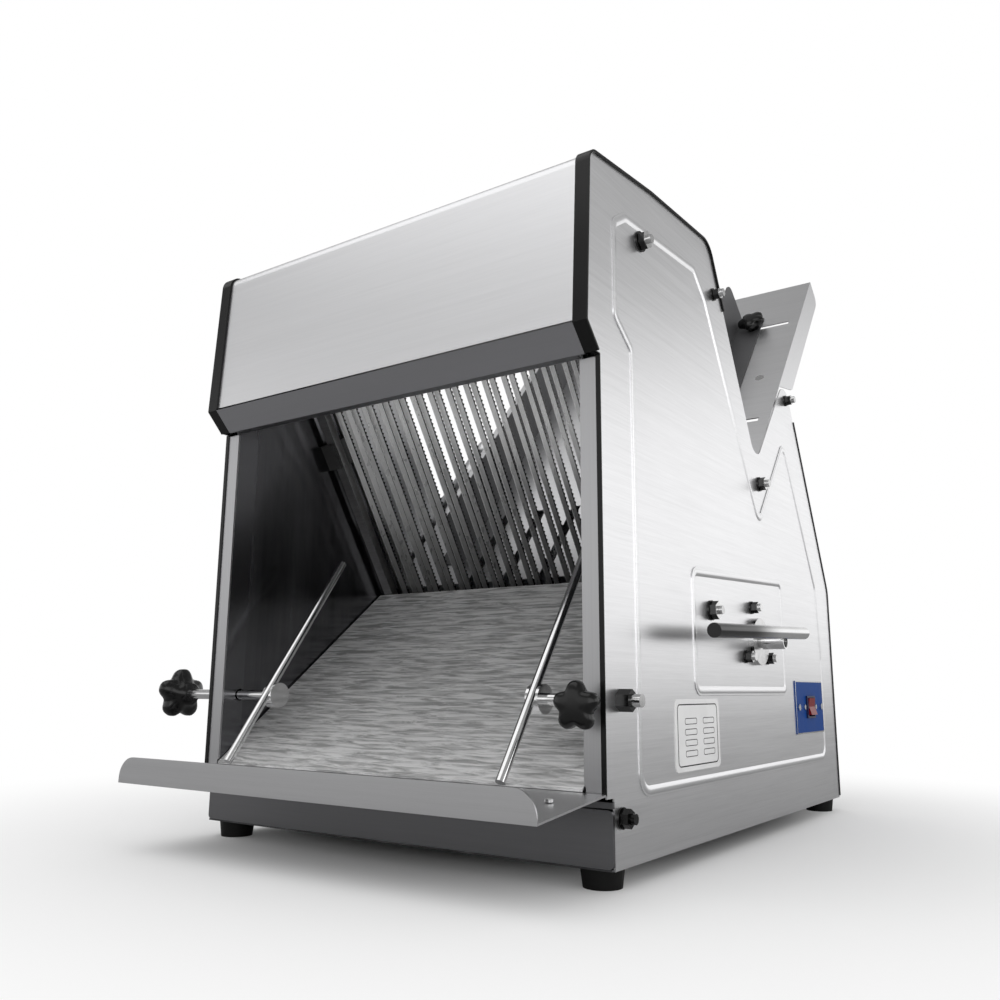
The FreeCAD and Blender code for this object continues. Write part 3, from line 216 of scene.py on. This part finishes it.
def wall_steel(name):
    """Inner walls: painted dark as shade inside the casing, nearly a mirror, with upright smears. The rear cover
    is bright and even.
    """
    shader = Shader(name)
    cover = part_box("rear_cover")[0].y
    outside = shader.level(shader.axis("Y"), 0.0, 1.0, cover - 10 * MM, cover - 5 * MM)
    smears = shader.noise((30.0, 26.0, 2.5), detail=4.0)
    hairs = shader.noise(grain("Z", 12.0, 900.0), detail=2.0)
    tone = shader.math("ADD", shader.level(smears, 0.55, 1.0), shader.level(hairs, -0.05, 0.05))
    # Painted shade: the inner walls get a dark base colour, the rear cover a bright one.
    dark = shader.shade(grey(0.2, 0.01), tone)
    bright = shader.shade(grey(0.72, 0.01), shader.level(hairs, 0.96, 1.0))
    shader.feed("Base Color", shader.mix(outside, dark, bright))
    shader.feed("Roughness", shader.mix(outside, shader.level(smears, 0.12, 0.3), grey(0.36)))
    shader.bump(hairs, 0.06, 0.0002)
    shader.set(Metallic=1.0)
    return shader.material


def worn_steel(name, colour, contrast, wave, rough):
    """Bright sheet with wavy streaks across the machine, as long wear leaves them."""
    shader = Shader(name)
    waves = shader.noise((wave / 10, wave, wave), detail=4.0, rough=0.65, warp=0.6)
    hairs = shader.noise(grain("X", 14.0, 1300.0), detail=2.0)
    wavy = shader.level(waves, 1.0 - contrast, 1.0, 0.38, 0.6)
    tone = shader.math("ADD", wavy, shader.level(hairs, -0.05, 0.05))
    shader.feed("Base Color", shader.shade(colour, tone))
    shader.feed("Roughness", shader.level(waves, rough * 1.25, rough * 0.8))
    shader.bump(waves, 0.25 * contrast, 0.002)
    shader.set(Metallic=0.6)
    return shader.material


def handle_chrome(name):
    """The handle bar: bright plating, with painted shade making its front part near black."""
    shader = Shader(name)
    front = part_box("handle_bar")[0].y
    marks = shader.noise((90.0, 14.0, 90.0), detail=4.0)
    # Painted shade: the front part of the bar is near black, the rear part bright.
    bright = shader.level(shader.axis("Y"), 0.0, 1.0, front + 80 * MM, front + 170 * MM, steps=True)
    shader.feed("Base Color", shader.mix(bright, grey(0.03), grey(0.9)))
    shader.feed("Roughness", shader.level(marks, 0.1, 0.26))
    shader.bump(marks, 0.05, 0.0003)
    shader.set(Metallic=1.0)
    return shader.material


def blade_steel(name):
    """Blades with painted shade: bright near the top and darker lower down."""
    shader = Shader(name)
    low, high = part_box("front_blades")
    tall = high.z - low.z
    hairs = shader.noise((900.0, 60.0, 60.0), detail=2.0)
    # Painted shade: the base colour darkens from the top of the blades downward.
    painted_shade_factor = shader.level(shader.axis("Z"), 0.22, 1.0, low.z + 0.3 * tall, high.z - 0.2 * tall, steps=True)
    tone = shader.math("ADD", painted_shade_factor, shader.level(hairs, -0.03, 0.03))
    shader.feed("Base Color", shader.shade(grey(0.95), tone))
    shader.feed("Roughness", shader.level(hairs, 0.26, 0.34))
    shader.set(Metallic=0.35)
    return shader.material


# Behind the posts' front faces, the edge between the faces to the front and into the opening
POST_FACE_ENDS, POST_INSIDE_STARTS = 1.8 * MM, 2.2 * MM


def post_steel(name):
    """Brushed posts whose faces into the opening are painted dark as shade, like the walls."""
    shader = Shader(name)
    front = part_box("front_posts")[0].y
    hairs = shader.noise(grain("Z", 3.0, 900.0), detail=3.0)
    inside = shader.level(shader.axis("Y"), 0.0, 1.0, front + POST_FACE_ENDS, front + POST_INSIDE_STARTS)
    # Painted shade: the faces into the opening get a dark base colour, the front faces a lighter one.
    plain = shader.mix(inside, grey(0.5, 0.01), grey(0.2, 0.01))
    shader.feed("Base Color", shader.shade(plain, shader.level(hairs, 0.94, 1.0)))
    shader.feed("Roughness", shader.level(inside, 0.36, 0.2, 0.0, 1.0))
    shader.bump(hairs, 0.04, 0.0001)
    shader.set(Metallic=1.0)
    return shader.material


# The guards' bushes are in front of this place and stay dark
BUSHES_END = BASE_FRONT + 30 * MM


def nut_chrome(name):
    """Black plated nuts and bushes, and the bright ends of the threads that stand out of the nuts."""
    shader = Shader(name)
    marks = shader.noise((160.0, 160.0, 160.0), detail=4.0)
    out = shader.math("ABSOLUTE", shader.math("SUBTRACT", shader.axis("X"), MIDDLE_X), 0.0)
    thread = shader.level(out, 0.0, 1.0, THREAD_ENDS, THREAD_ENDS + 0.2 * MM)
    behind = shader.level(shader.axis("Y"), 0.0, 1.0, BUSHES_END, BUSHES_END + MM)
    end = shader.math("MULTIPLY", thread, behind)
    shader.feed("Base Color", shader.mix(end, grey(0.05), grey(0.8)))
    shader.feed("Roughness", shader.level(marks, 0.14, 0.26))
    shader.bump(marks, 0.03, 0.0003)
    shader.set(Metallic=1.0)
    return shader.material


FINISHES = {
    "panel_steel": lambda n: brushed(
        n, grey(0.93, 0.01), "Y", 0.3, 0.035, long_streak=5.0, wide_streak=380.0),
    "wall_steel": wall_steel,
    "trim_black": lambda n: coated(n, grey(0.004), 0.26, relief=0.02, shine=0.3),
    "post_grey": post_steel,
    "hood_steel": lambda n: brushed(n, grey(0.82, 0.012), "X", 0.36, 0.014),
    # Painted shade: the hood's downward-facing band gets a darker base than the hood.
    "band_dark": lambda n: brushed(n, grey(0.42, 0.02), "X", 0.42, 0.015),
    "base_dark": lambda n: brushed(n, grey(0.2, 0.008), "X", 0.38, 0.02),
    "drawer_steel": lambda n: brushed(n, grey(0.7), "X", 0.3, 0.05),
    "chute_steel": lambda n: worn_steel(n, grey(0.98), 0.6, 240.0, 0.4),
    "tray_steel": lambda n: brushed(n, grey(0.62, 0.01), "X", 0.34, 0.02),
    "feed_steel": lambda n: brushed(n, grey(0.85, 0.01), "X", 0.36, 0.02),
    "guide_grey": lambda n: coated(n, grey(0.15, 0.005), 0.4, metallic=0.5),
    "knob_black": lambda n: coated(n, grey(0.004), 0.2, relief=0.03, shine=0.4),
    "frame_steel": lambda n: brushed(n, grey(0.5), "X", 0.35, 0.06),
    "blade_steel": blade_steel,
    # Painted shade: the nylon slides are near black because they sit in the dark inside.
    "nylon": lambda n: coated(n, grey(0.04), 0.45),
    "shaft_steel": lambda n: polished(n, grey(0.7), 0.25),
    "cast_grey": lambda n: coated(n, grey(0.28), 0.55, metallic=0.6, grains=500.0, relief=0.4),
    "belt_rubber": lambda n: coated(n, grey(0.02), 0.6, relief=0.3),
    "motor_paint": lambda n: coated(n, (0.08, 0.1, 0.12), 0.42, relief=0.15),
    "boss_steel": lambda n: polished(n, grey(0.75), 0.22),
    "handle_chrome": handle_chrome,
    "guard_chrome": lambda n: polished(n, grey(0.82), 0.14),
    "nut_dark": nut_chrome,
    "screw_steel": lambda n: polished(n, grey(0.74), 0.2),
    "plate_white": lambda n: coated(n, grey(0.86), 0.35, relief=0.03),
    "switch_blue": lambda n: coated(n, (0.001, 0.05, 0.25), 0.45, relief=0.03, shine=0.12),
    "switch_navy": lambda n: coated(n, (0.006, 0.01, 0.06), 0.35, relief=0.03),
    "rocker_red": lambda n: coated(n, (0.2, 0.004, 0.008), 0.3, relief=0.03, shine=0.3),
    "gland_black": lambda n: coated(n, grey(0.015), 0.45),
    "foot_rubber": lambda n: coated(n, grey(0.008), 0.45, relief=0.15, shine=0.25),
}
MATERIALS = {name: make(name) for name, make in FINISHES.items()}


def dress_nodes():
    for name, node in NODES.items():
        for slot in node.material_slots:
            slot.material = MATERIALS[SLOT_OF[name]]


def smooth(mesh):
    for face in mesh.polygons:
        face.use_smooth = True
    return mesh


# Pieces

def new_piece(name, mesh, slot, body, *replaced):
    piece = bpy.data.objects.new(name, mesh)
    bpy.context.scene.collection.objects.link(piece)
    if slot in MATERIALS:
        mesh.materials.append(MATERIALS[slot])
    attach(piece, body)
    if replaced:
        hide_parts(*replaced)


def mesh_from(name, vertices, faces):
    mesh = bpy.data.meshes.new(name)
    mesh.from_pydata(vertices, [], faces)
    mesh.validate()
    made = bmesh.new()
    made.from_mesh(mesh)
    bmesh.ops.recalc_face_normals(made, faces=made.faces)
    made.to_mesh(mesh)
    made.free()
    return mesh


TOOTH_PITCH = 4.8 * MM
TOOTH_DEPTH = 2.4 * MM
TOOTH_STEPS = 3
BLADE_UP = Vector(JOINTS["front_frame_slide"]["axis"]).normalized()
BLADE_BACK = Vector((0, BLADE_UP.z, -BLADE_UP.y))


def scalloped_side(low, high, back):
    """Points up the toothed side of a blade: hollows between sharp points."""
    count = round((high - low) / TOOTH_PITCH)
    pitch = (high - low) / count
    side = []
    for tooth in range(count):
        for step in range(TOOTH_STEPS):
            share = step / TOOTH_STEPS
            hollow = TOOTH_DEPTH * math.sin(math.pi * share)
            side.append((back - hollow, low + (tooth + share) * pitch))
    side.append((back, high))
    return side


def prisms(outline, sides, grow=0.0):
    """One outline across and up the blade plane, filled between each pair of sides."""
    vertices, faces = [], []
    size = len(outline)
    for left, right in zip(sides[::2], sides[1::2]):
        start = len(vertices)
        for x in (left - grow, right + grow):
            vertices += [Vector((x, 0, 0)) + BLADE_BACK * n + BLADE_UP * u for n, u in outline]
        faces.append(tuple(range(start, start + size)))
        faces.append(tuple(range(start + 2 * size - 1, start + size - 1, -1)))
        for i in range(size):
            j = (i + 1) % size
            faces.append((start + i, start + size + i, start + size + j, start + j))
    return vertices, faces


BEVEL_WIDE = 4.0 * MM
BEVEL_PROUD = 0.05 * MM


def toothed_blades(node_name, body):
    """Each plain strip of the node as a blade with a scalloped rear side, and along it a dark strip of painted
    shade for the ground bevel.
    """
    corners = [v.co for v in NODES[node_name].data.vertices]
    backs = [c.dot(BLADE_BACK) for c in corners]
    ups = [c.dot(BLADE_UP) for c in corners]
    sides = sorted({round(c.x, 5) for c in corners})
    front, back, low, high = min(backs), max(backs), min(ups), max(ups)
    teeth = scalloped_side(low, high, back)
    strip = mesh_from("toothed_" + node_name, *prisms([(front, high), (front, low)] + teeth, sides))
    new_piece("toothed_" + node_name, strip, "blade_steel", body, node_name)
    # Painted shade: thin dark strips over the blade faces along the teeth stand in for the shading of the ground
    # bevel.
    shade_outline = [(back - BEVEL_WIDE, high), (back - BEVEL_WIDE, low)] + teeth
    shade_strips = mesh_from("painted_bevel_shade_" + node_name, *prisms(shade_outline, sides, BEVEL_PROUD))
    new_piece("painted_bevel_shade_" + node_name, shade_strips, "nut_dark", body)


CORNER_STEPS = 6


def rounded_rectangle(half_wide, half_tall, corner):
    """Points round a rectangle with rounded corners, about its middle."""
    points = []
    for turn, (sx, sy) in enumerate(((1, 1), (-1, 1), (-1, -1), (1, -1))):
        for step in range(CORNER_STEPS + 1):
            angle = math.pi / 2 * (turn + step / CORNER_STEPS)
            x = sx * (half_wide - corner) + corner * math.cos(angle)
            y = sy * (half_tall - corner) + corner * math.sin(angle)
            points.append((x, y))
    return points


def side_ring(x, y, z, half_wide, half_tall, corner, line, lift):
    """A flat line round a rounded rectangle on the right side, as vertices and faces."""
    outer = rounded_rectangle(half_wide, half_tall, corner)
    inner = rounded_rectangle(half_wide - line, half_tall - line, max(corner - line, line / 2))
    size = len(outer)
    rings = [(outer, x), (outer, x + lift), (inner, x + lift), (inner, x)]
    vertices = [(at, y + a, z + b) for ring, at in rings for a, b in ring]
    faces = []
    for r in range(len(rings)):
        s = (r + 1) % len(rings)
        for i in range(size):
            j = (i + 1) % size
            faces.append((r * size + i, r * size + j, s * size + j, s * size + i))
    return vertices, faces


def join_parts(parts):
    vertices, faces = [], []
    for some_vertices, some_faces in parts:
        start = len(vertices)
        vertices += some_vertices
        faces += [tuple(start + i for i in face) for face in some_faces]
    return vertices, faces


PRINT_LIFT = 0.08 * MM
BORDER_IN = (5 * MM, 4 * MM)
BORDER_CORNER, BORDER_LINE = 5 * MM, 1.0 * MM
FIELD_CORNER, FIELD_LINE = 2 * MM, 0.6 * MM
FIELD_ROWS = 4
# Shares of the plate's width
FIELD_HALF_WIDE, FIELD_ASIDE, FIELDS_MOVED = 0.13, 0.2, 0.04
# Shares of the plate's height
FIELD_HALF_TALL, FIRST_ROW_DOWN, ROW_PITCH = 0.045, 0.26, 0.15


def nameplate_print():
    """The plate's printed border and its empty fields, two beside each other in each row."""
    low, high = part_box("nameplate")
    y, z = (low.y + high.y) / 2, (low.z + high.z) / 2
    wide, tall = high.y - low.y, high.z - low.z
    border = (wide / 2 - BORDER_IN[0], tall / 2 - BORDER_IN[1], BORDER_CORNER, BORDER_LINE)
    field = (wide * FIELD_HALF_WIDE, tall * FIELD_HALF_TALL, FIELD_CORNER, FIELD_LINE)
    parts = [side_ring(high.x, y, z, *border, PRINT_LIFT)]
    for row in range(FIELD_ROWS):
        for column in (-1, 1):
            at = y + column * wide * FIELD_ASIDE + wide * FIELDS_MOVED
            rise = z - tall * FIRST_ROW_DOWN + row * tall * ROW_PITCH
            parts.append(side_ring(high.x, at, rise, *field, PRINT_LIFT))
    mesh = mesh_from("nameplate_print", *join_parts(parts))
    new_piece("nameplate_print", mesh, "trim_black", "casing")


# Star knobs with rounded lobes

LOBES = 5
LOBE_DEPTH = 0.26
HOLLOW_POWER = 1.5
# Height above the foot, radius and depth of the lobes, as shares of the knob's own
KNOB_PROFILE = (
    (0.0, 0.42, 0.0), (0.2, 0.46, 0.1), (0.32, 0.72, 0.6), (0.42, 0.93, 1.0), (0.5, 1.0, 1.0),
    (0.72, 1.0, 1.0), (0.84, 0.96, 1.0), (0.93, 0.84, 0.9), (0.98, 0.6, 0.5), (1.0, 0.3, 0.1),
)
KNOB_STEPS = 60


def smooth_knob(node_name, joint_name, outward, tall, radius):
    """The node's star knob with lobes that run into each other, its top facing outward."""
    joint = JOINTS[joint_name]
    axis = Vector(outward).normalized()
    tilted = abs(axis.z) > 0.1
    lobe_way = Vector((0, -axis.z, axis.y)) if tilted else Vector((0, 0, 1))
    across = axis.cross(lobe_way)
    corners = [v.co for v in NODES[node_name].data.vertices]
    top = max(c.dot(axis) for c in corners)
    centre = Vector(joint["pos_m"])
    centre -= axis * centre.dot(axis)
    vertices, faces = [], []
    for rise, share, depth in KNOB_PROFILE:
        for step in range(KNOB_STEPS):
            angle = 2 * math.pi * step / KNOB_STEPS
            hollow = (1 - math.cos(LOBES * angle)) / 2
            reach = radius * share * (1 - LOBE_DEPTH * depth * hollow ** HOLLOW_POWER)
            spot = centre + axis * (top - tall + rise * tall)
            vertices.append(spot + (lobe_way * math.cos(angle) + across * math.sin(angle)) * reach)
    for ring in range(len(KNOB_PROFILE) - 1):
        for step in range(KNOB_STEPS):
            near, far = ring * KNOB_STEPS, (ring + 1) * KNOB_STEPS
            after = (step + 1) % KNOB_STEPS
            faces.append((near + step, near + after, far + after, far + step))
    faces.append(tuple(range(KNOB_STEPS)))
    faces.append(tuple(range((len(KNOB_PROFILE) - 1) * KNOB_STEPS, len(KNOB_PROFILE) * KNOB_STEPS)))
    name = "smooth_" + node_name
    new_piece(name, smooth(mesh_from(name, vertices, faces)), "knob_black", joint["child"], node_name)
    return centre, axis, top


BAR_STEPS = 24


def round_bar(name, start, end, radius, slot, body):
    """A straight round bar between two points."""
    along = (end - start).normalized()
    side = along.orthogonal().normalized()
    up = along.cross(side)
    angles = [2 * math.pi * i / BAR_STEPS for i in range(BAR_STEPS)]
    spokes = [side * math.cos(angle) + up * math.sin(angle) for angle in angles]
    vertices = [spot + spoke * radius for spot in (start, end) for spoke in spokes]
    faces = []
    for i in range(BAR_STEPS):
        j = (i + 1) % BAR_STEPS
        faces.append((i, j, BAR_STEPS + j, BAR_STEPS + i))
    faces += [tuple(range(BAR_STEPS)), tuple(range(BAR_STEPS, 2 * BAR_STEPS))]
    new_piece(name, mesh_from(name, vertices, faces), slot, body)


# Height and radius
SMALL_KNOB = (18 * MM, 18.5 * MM)
BIG_KNOB = (26 * MM, 26 * MM)
CLAMP_SCREW_RADIUS = 3 * MM


def all_knobs():
    for side in ("right", "left"):
        upward = JOINTS[side + "_guide_knob_turn"]["axis"]
        smooth_knob(side + "_guide_knob", side + "_guide_knob_turn", upward, *SMALL_KNOB)
    smooth_knob("left_guard_knob", "left_guard_knob_turn", (-1, 0, 0), *BIG_KNOB)
    centre, axis, top = smooth_knob("right_guard_knob", "right_guard_knob_turn", (0, -1, 0), *SMALL_KNOB)
    foot = centre + axis * (top - SMALL_KNOB[0] + MM)
    back = centre + axis * min(v.co.dot(axis) for v in NODES["right_guard_knob"].data.vertices)
    round_bar("right_clamp_screw", foot, back, CLAMP_SCREW_RADIUS, "screw_steel", "right_guard_knob")


# Beads pressed into the side panels

# Sideways and outward, in millimetres
BEAD_PROFILE = ((-4.4, 0.0), (-3.5, 0.3), (-2.1, 0.88), (-1.0, 1.03), (0.0, 1.06), (1.0, 1.03), (2.1, 0.88),
                (3.5, 0.3), (4.4, 0.0))
# Distance behind the base's front and height, in millimetres, with the corner's radius
PANEL_BEAD = (
    (19, 531, 10), (19, 447, 10), (48, 426, 10), (48, 66, 14), (546, 66, 14), (551, 181, 6), (543, 268, 14),
    (446, 432, 10), (348, 322, 10), (217, 532, 14), (190, 556, 10), (40, 545, 10),
)
FRAME_BEAD = ((162, 143, 8), (409, 143, 8), (409, 262, 8), (162, 250, 8))


def rounded_loop(corners):
    """Points round a closed outline whose corners are arcs of their own radius."""
    points = []
    for i, (y, z, radius) in enumerate(corners):
        spot = Vector((y, z))
        before = (Vector(corners[i - 1][:2]) - spot).normalized()
        after = (Vector(corners[(i + 1) % len(corners)][:2]) - spot).normalized()
        half = before.angle(after) / 2
        middle = spot + (before + after).normalized() * radius / math.sin(half)
        run = radius / math.tan(half)
        first, last = spot + before * run - middle, spot + after * run - middle
        sweep = first.angle_signed(last)
        for step in range(CORNER_STEPS + 1):
            turn = Matrix.Rotation(-sweep * step / CORNER_STEPS, 2)
            points.append(middle + turn @ first)
    return points


def bead(name, corners, side):
    """A soft ridge along the outline, over the plain bead of the panel."""
    loop = rounded_loop(corners)
    size, wide = len(loop), len(BEAD_PROFILE)
    vertices, faces = [], []
    for i, spot in enumerate(loop):
        run = (loop[(i + 1) % size] - loop[i - 1]).normalized()
        across = Vector((-run.y, run.x))
        for sideways, outward in BEAD_PROFILE:
            y, z = spot + across * sideways
            out = MIDDLE_X + side * (SKIN_OUT + outward * MM)
            vertices.append((out, BASE_FRONT + y * MM, z * MM))
    for i in range(size):
        for j in range(wide - 1):
            here, there = i * wide + j, (i + 1) % size * wide + j
            faces.append((here, here + 1, there + 1, there))
    new_piece(name, smooth(mesh_from(name, vertices, faces)), "panel_steel", "casing")


def all_beads():
    for side, word in ((1, "right"), (-1, "left")):
        bead(word + "_panel_bead", PANEL_BEAD, side)
        bead(word + "_frame_bead", FRAME_BEAD, side)


SWITCH_CORNER = 1.5 * MM
SWITCH_EDGE, SWITCH_EDGE_LIFT = 1.3 * MM, 0.15 * MM
SWITCH_SCREW_OUT = 21 * MM
SWITCH_SCREW_RADIUS, SWITCH_SCREW_TALL = 2.8 * MM, 1.2 * MM


def switch_trim():
    """Bright edge round the switch plate and the heads of its two screws."""
    low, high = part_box("switch_plate")
    y, z = (low.y + high.y) / 2, (low.z + high.z) / 2
    half_wide, half_tall = (high.y - low.y) / 2, (high.z - low.z) / 2
    ring = side_ring(high.x, y, z, half_wide, half_tall, SWITCH_CORNER, SWITCH_EDGE, SWITCH_EDGE_LIFT)
    new_piece("switch_edge", mesh_from("switch_edge", *ring), "screw_steel", "casing")
    for side, word in ((-1, "front"), (1, "rear")):
        foot = Vector((high.x, y + side * SWITCH_SCREW_OUT, z))
        top = foot + Vector((SWITCH_SCREW_TALL, 0, 0))
        round_bar("switch_screw_" + word, foot, top, SWITCH_SCREW_RADIUS, "screw_steel", "casing")


# Studio

PHOTO_PIXELS = 1000
FOCAL_PIXELS = 925.08
SENSOR = 36.0
EYE = Vector((0.58075, -0.90436, 0.145))
YAW, PITCH, ROLL = (math.radians(a) for a in (34.70, 11.45, 0.38))


def make_camera():
    data = bpy.data.cameras.new("camera")
    data.sensor_width = SENSOR
    data.lens = SENSOR * FOCAL_PIXELS / PHOTO_PIXELS
    data.clip_start, data.clip_end = 0.01, 100.0
    camera = bpy.data.objects.new("camera", data)
    bpy.context.scene.collection.objects.link(camera)
    ahead = Vector((-math.sin(YAW) * math.cos(PITCH), math.cos(YAW) * math.cos(PITCH), math.sin(PITCH)))
    level = Vector((math.cos(YAW), math.sin(YAW), 0))
    upright = level.cross(ahead)
    right = level * math.cos(ROLL) + upright * math.sin(ROLL)
    up = upright * math.cos(ROLL) - level * math.sin(ROLL)
    turn = Matrix((right, up, -ahead)).transposed().to_4x4()
    camera.matrix_world = Matrix.Translation(EYE) @ turn
    bpy.context.scene.camera = camera


def add_lamp(name, place, size, watts):
    data = bpy.data.lights.new(name, "AREA")
    data.shape = "RECTANGLE"
    data.size, data.size_y = size
    data.energy = watts
    lamp = bpy.data.objects.new(name, data)
    bpy.context.scene.collection.objects.link(lamp)
    lamp.location = place
    lamp.rotation_mode = "QUATERNION"
    lamp.rotation_quaternion = (LAMPS_AIM - Vector(place)).to_track_quat("-Z", "Y")


# Height in the room from straight down at 0 to straight up at 1, and how bright it is there
STUDIO_TONES = (
    (0.0, 0.15), (0.48, 0.3), (0.52, 1.0), (0.64, 1.0), (0.71, 0.33), (0.8, 0.38), (1.0, 0.25),
)
AMBIENT = 0.7


def make_world():
    """White to the camera; metal sees a studio with a bright band above eye level, dim over and under it."""
    world = bpy.data.worlds.new("studio")
    bpy.context.scene.world = world
    world.use_nodes = True
    tree = world.node_tree
    tree.nodes.clear()

    add = tree.nodes.new

    rays = add("ShaderNodeLightPath")
    direction = add("ShaderNodeTexCoord")
    split = add("ShaderNodeSeparateXYZ")
    tree.links.new(direction.outputs["Generated"], split.inputs["Vector"])
    height = add("ShaderNodeMapRange")
    height.inputs["From Min"].default_value = -1.0
    tree.links.new(split.outputs["Z"], height.inputs["Value"])
    tones = add("ShaderNodeValToRGB")
    ramp = tones.color_ramp
    while len(ramp.elements) < len(STUDIO_TONES):
        ramp.elements.new(0.5)
    for element, (at, tone) in zip(ramp.elements, STUDIO_TONES):
        element.position = at
        element.color = (tone, tone, tone, 1.0)
    tree.links.new(height.outputs["Result"], tones.inputs["Fac"])
    seen_by_metal = add("ShaderNodeMix")
    seen_by_metal.data_type = "RGBA"
    seen_by_metal.inputs[MIX_A].default_value = (AMBIENT, AMBIENT, AMBIENT, 1.0)
    tree.links.new(rays.outputs["Is Glossy Ray"], seen_by_metal.inputs["Factor"])
    tree.links.new(tones.outputs["Color"], seen_by_metal.inputs[MIX_B])
    clear = add("ShaderNodeMath")
    clear.operation = "MAXIMUM"
    tree.links.new(rays.outputs["Is Camera Ray"], clear.inputs[0])
    tree.links.new(rays.outputs["Is Transmission Ray"], clear.inputs[1])
    colour = add("ShaderNodeMix")
    colour.data_type = "RGBA"
    colour.inputs[MIX_B].default_value = (1.0, 1.0, 1.0, 1.0)
    tree.links.new(clear.outputs["Value"], colour.inputs["Factor"])
    tree.links.new(seen_by_metal.outputs[MIX_OUT], colour.inputs[MIX_A])
    background = add("ShaderNodeBackground")
    output = add("ShaderNodeOutputWorld")
    tree.links.new(colour.outputs[MIX_OUT], background.inputs["Color"])
    tree.links.new(background.outputs["Background"], output.inputs["Surface"])


FLOOR_HALF = 8.0
# How far out the floor begins to turn white and is all white
FLOOR_NEAR, FLOOR_FAR = 0.2, 0.9
# How pale the floor is, and how pale metal sees it
FLOOR_PALE = 0.9
FLOOR_IN_METAL = 0.32


def make_floor():
    """A pale floor that keeps the shadow near the machine and turns white further out."""
    mesh = bpy.data.meshes.new("floor")
    corners = [(-FLOOR_HALF, -FLOOR_HALF, 0), (FLOOR_HALF, -FLOOR_HALF, 0), (FLOOR_HALF, FLOOR_HALF, 0),
               (-FLOOR_HALF, FLOOR_HALF, 0)]
    mesh.from_pydata(corners, [], [(0, 1, 2, 3)])
    floor = bpy.data.objects.new("floor", mesh)
    bpy.context.scene.collection.objects.link(floor)
    shader = Shader("floor_pale")
    rays = shader.add("ShaderNodeLightPath")
    reach = shader.add("ShaderNodeVectorMath", operation="LENGTH")
    shader.link(shader.place, reach.inputs[0])
    far = shader.level(reach.outputs["Value"], 0.0, 1.0, FLOOR_NEAR, FLOOR_FAR, steps=True)
    seen = shader.mix(rays.outputs["Is Glossy Ray"], grey(FLOOR_PALE), grey(FLOOR_IN_METAL))
    shader.feed("Base Color", seen)
    shader.set(Roughness=0.9, Specular_IOR_Level=0.0)
    white = shader.add("ShaderNodeEmission")
    glow = shader.math("MULTIPLY", far, rays.outputs["Is Camera Ray"])
    both = shader.add("ShaderNodeMixShader")
    shader.link(glow, both.inputs["Fac"])
    shader.link(shader.surface.outputs["BSDF"], both.inputs[1])
    shader.link(white.outputs["Emission"], both.inputs[2])
    shader.link(both.outputs["Shader"], shader.tree.nodes["Material Output"].inputs["Surface"])
    mesh.materials.append(shader.material)


LAMPS_AIM = Vector((MIDDLE_X, 0.0, 0.3))
# Name, place, size and watts
LAMPS = (
    ("key", (-0.7, -1.3, 2.7), (3.2, 2.4), 22.0),
    ("fill", (1.6, -2.2, 0.35), (2.8, 1.8), 12.0),
    ("side", (2.6, 0.4, 0.8), (2.0, 1.0), 6.0),
)


def make_studio():
    make_camera()
    make_world()
    make_floor()
    for lamp in LAMPS:
        add_lamp(*lamp)
    bpy.context.scene.view_settings.view_transform = "Standard"


dress_nodes()
toothed_blades("front_blades", "front_frame")
toothed_blades("rear_blades", "rear_frame")
nameplate_print()
all_knobs()
all_beads()
switch_trim()
make_studio()
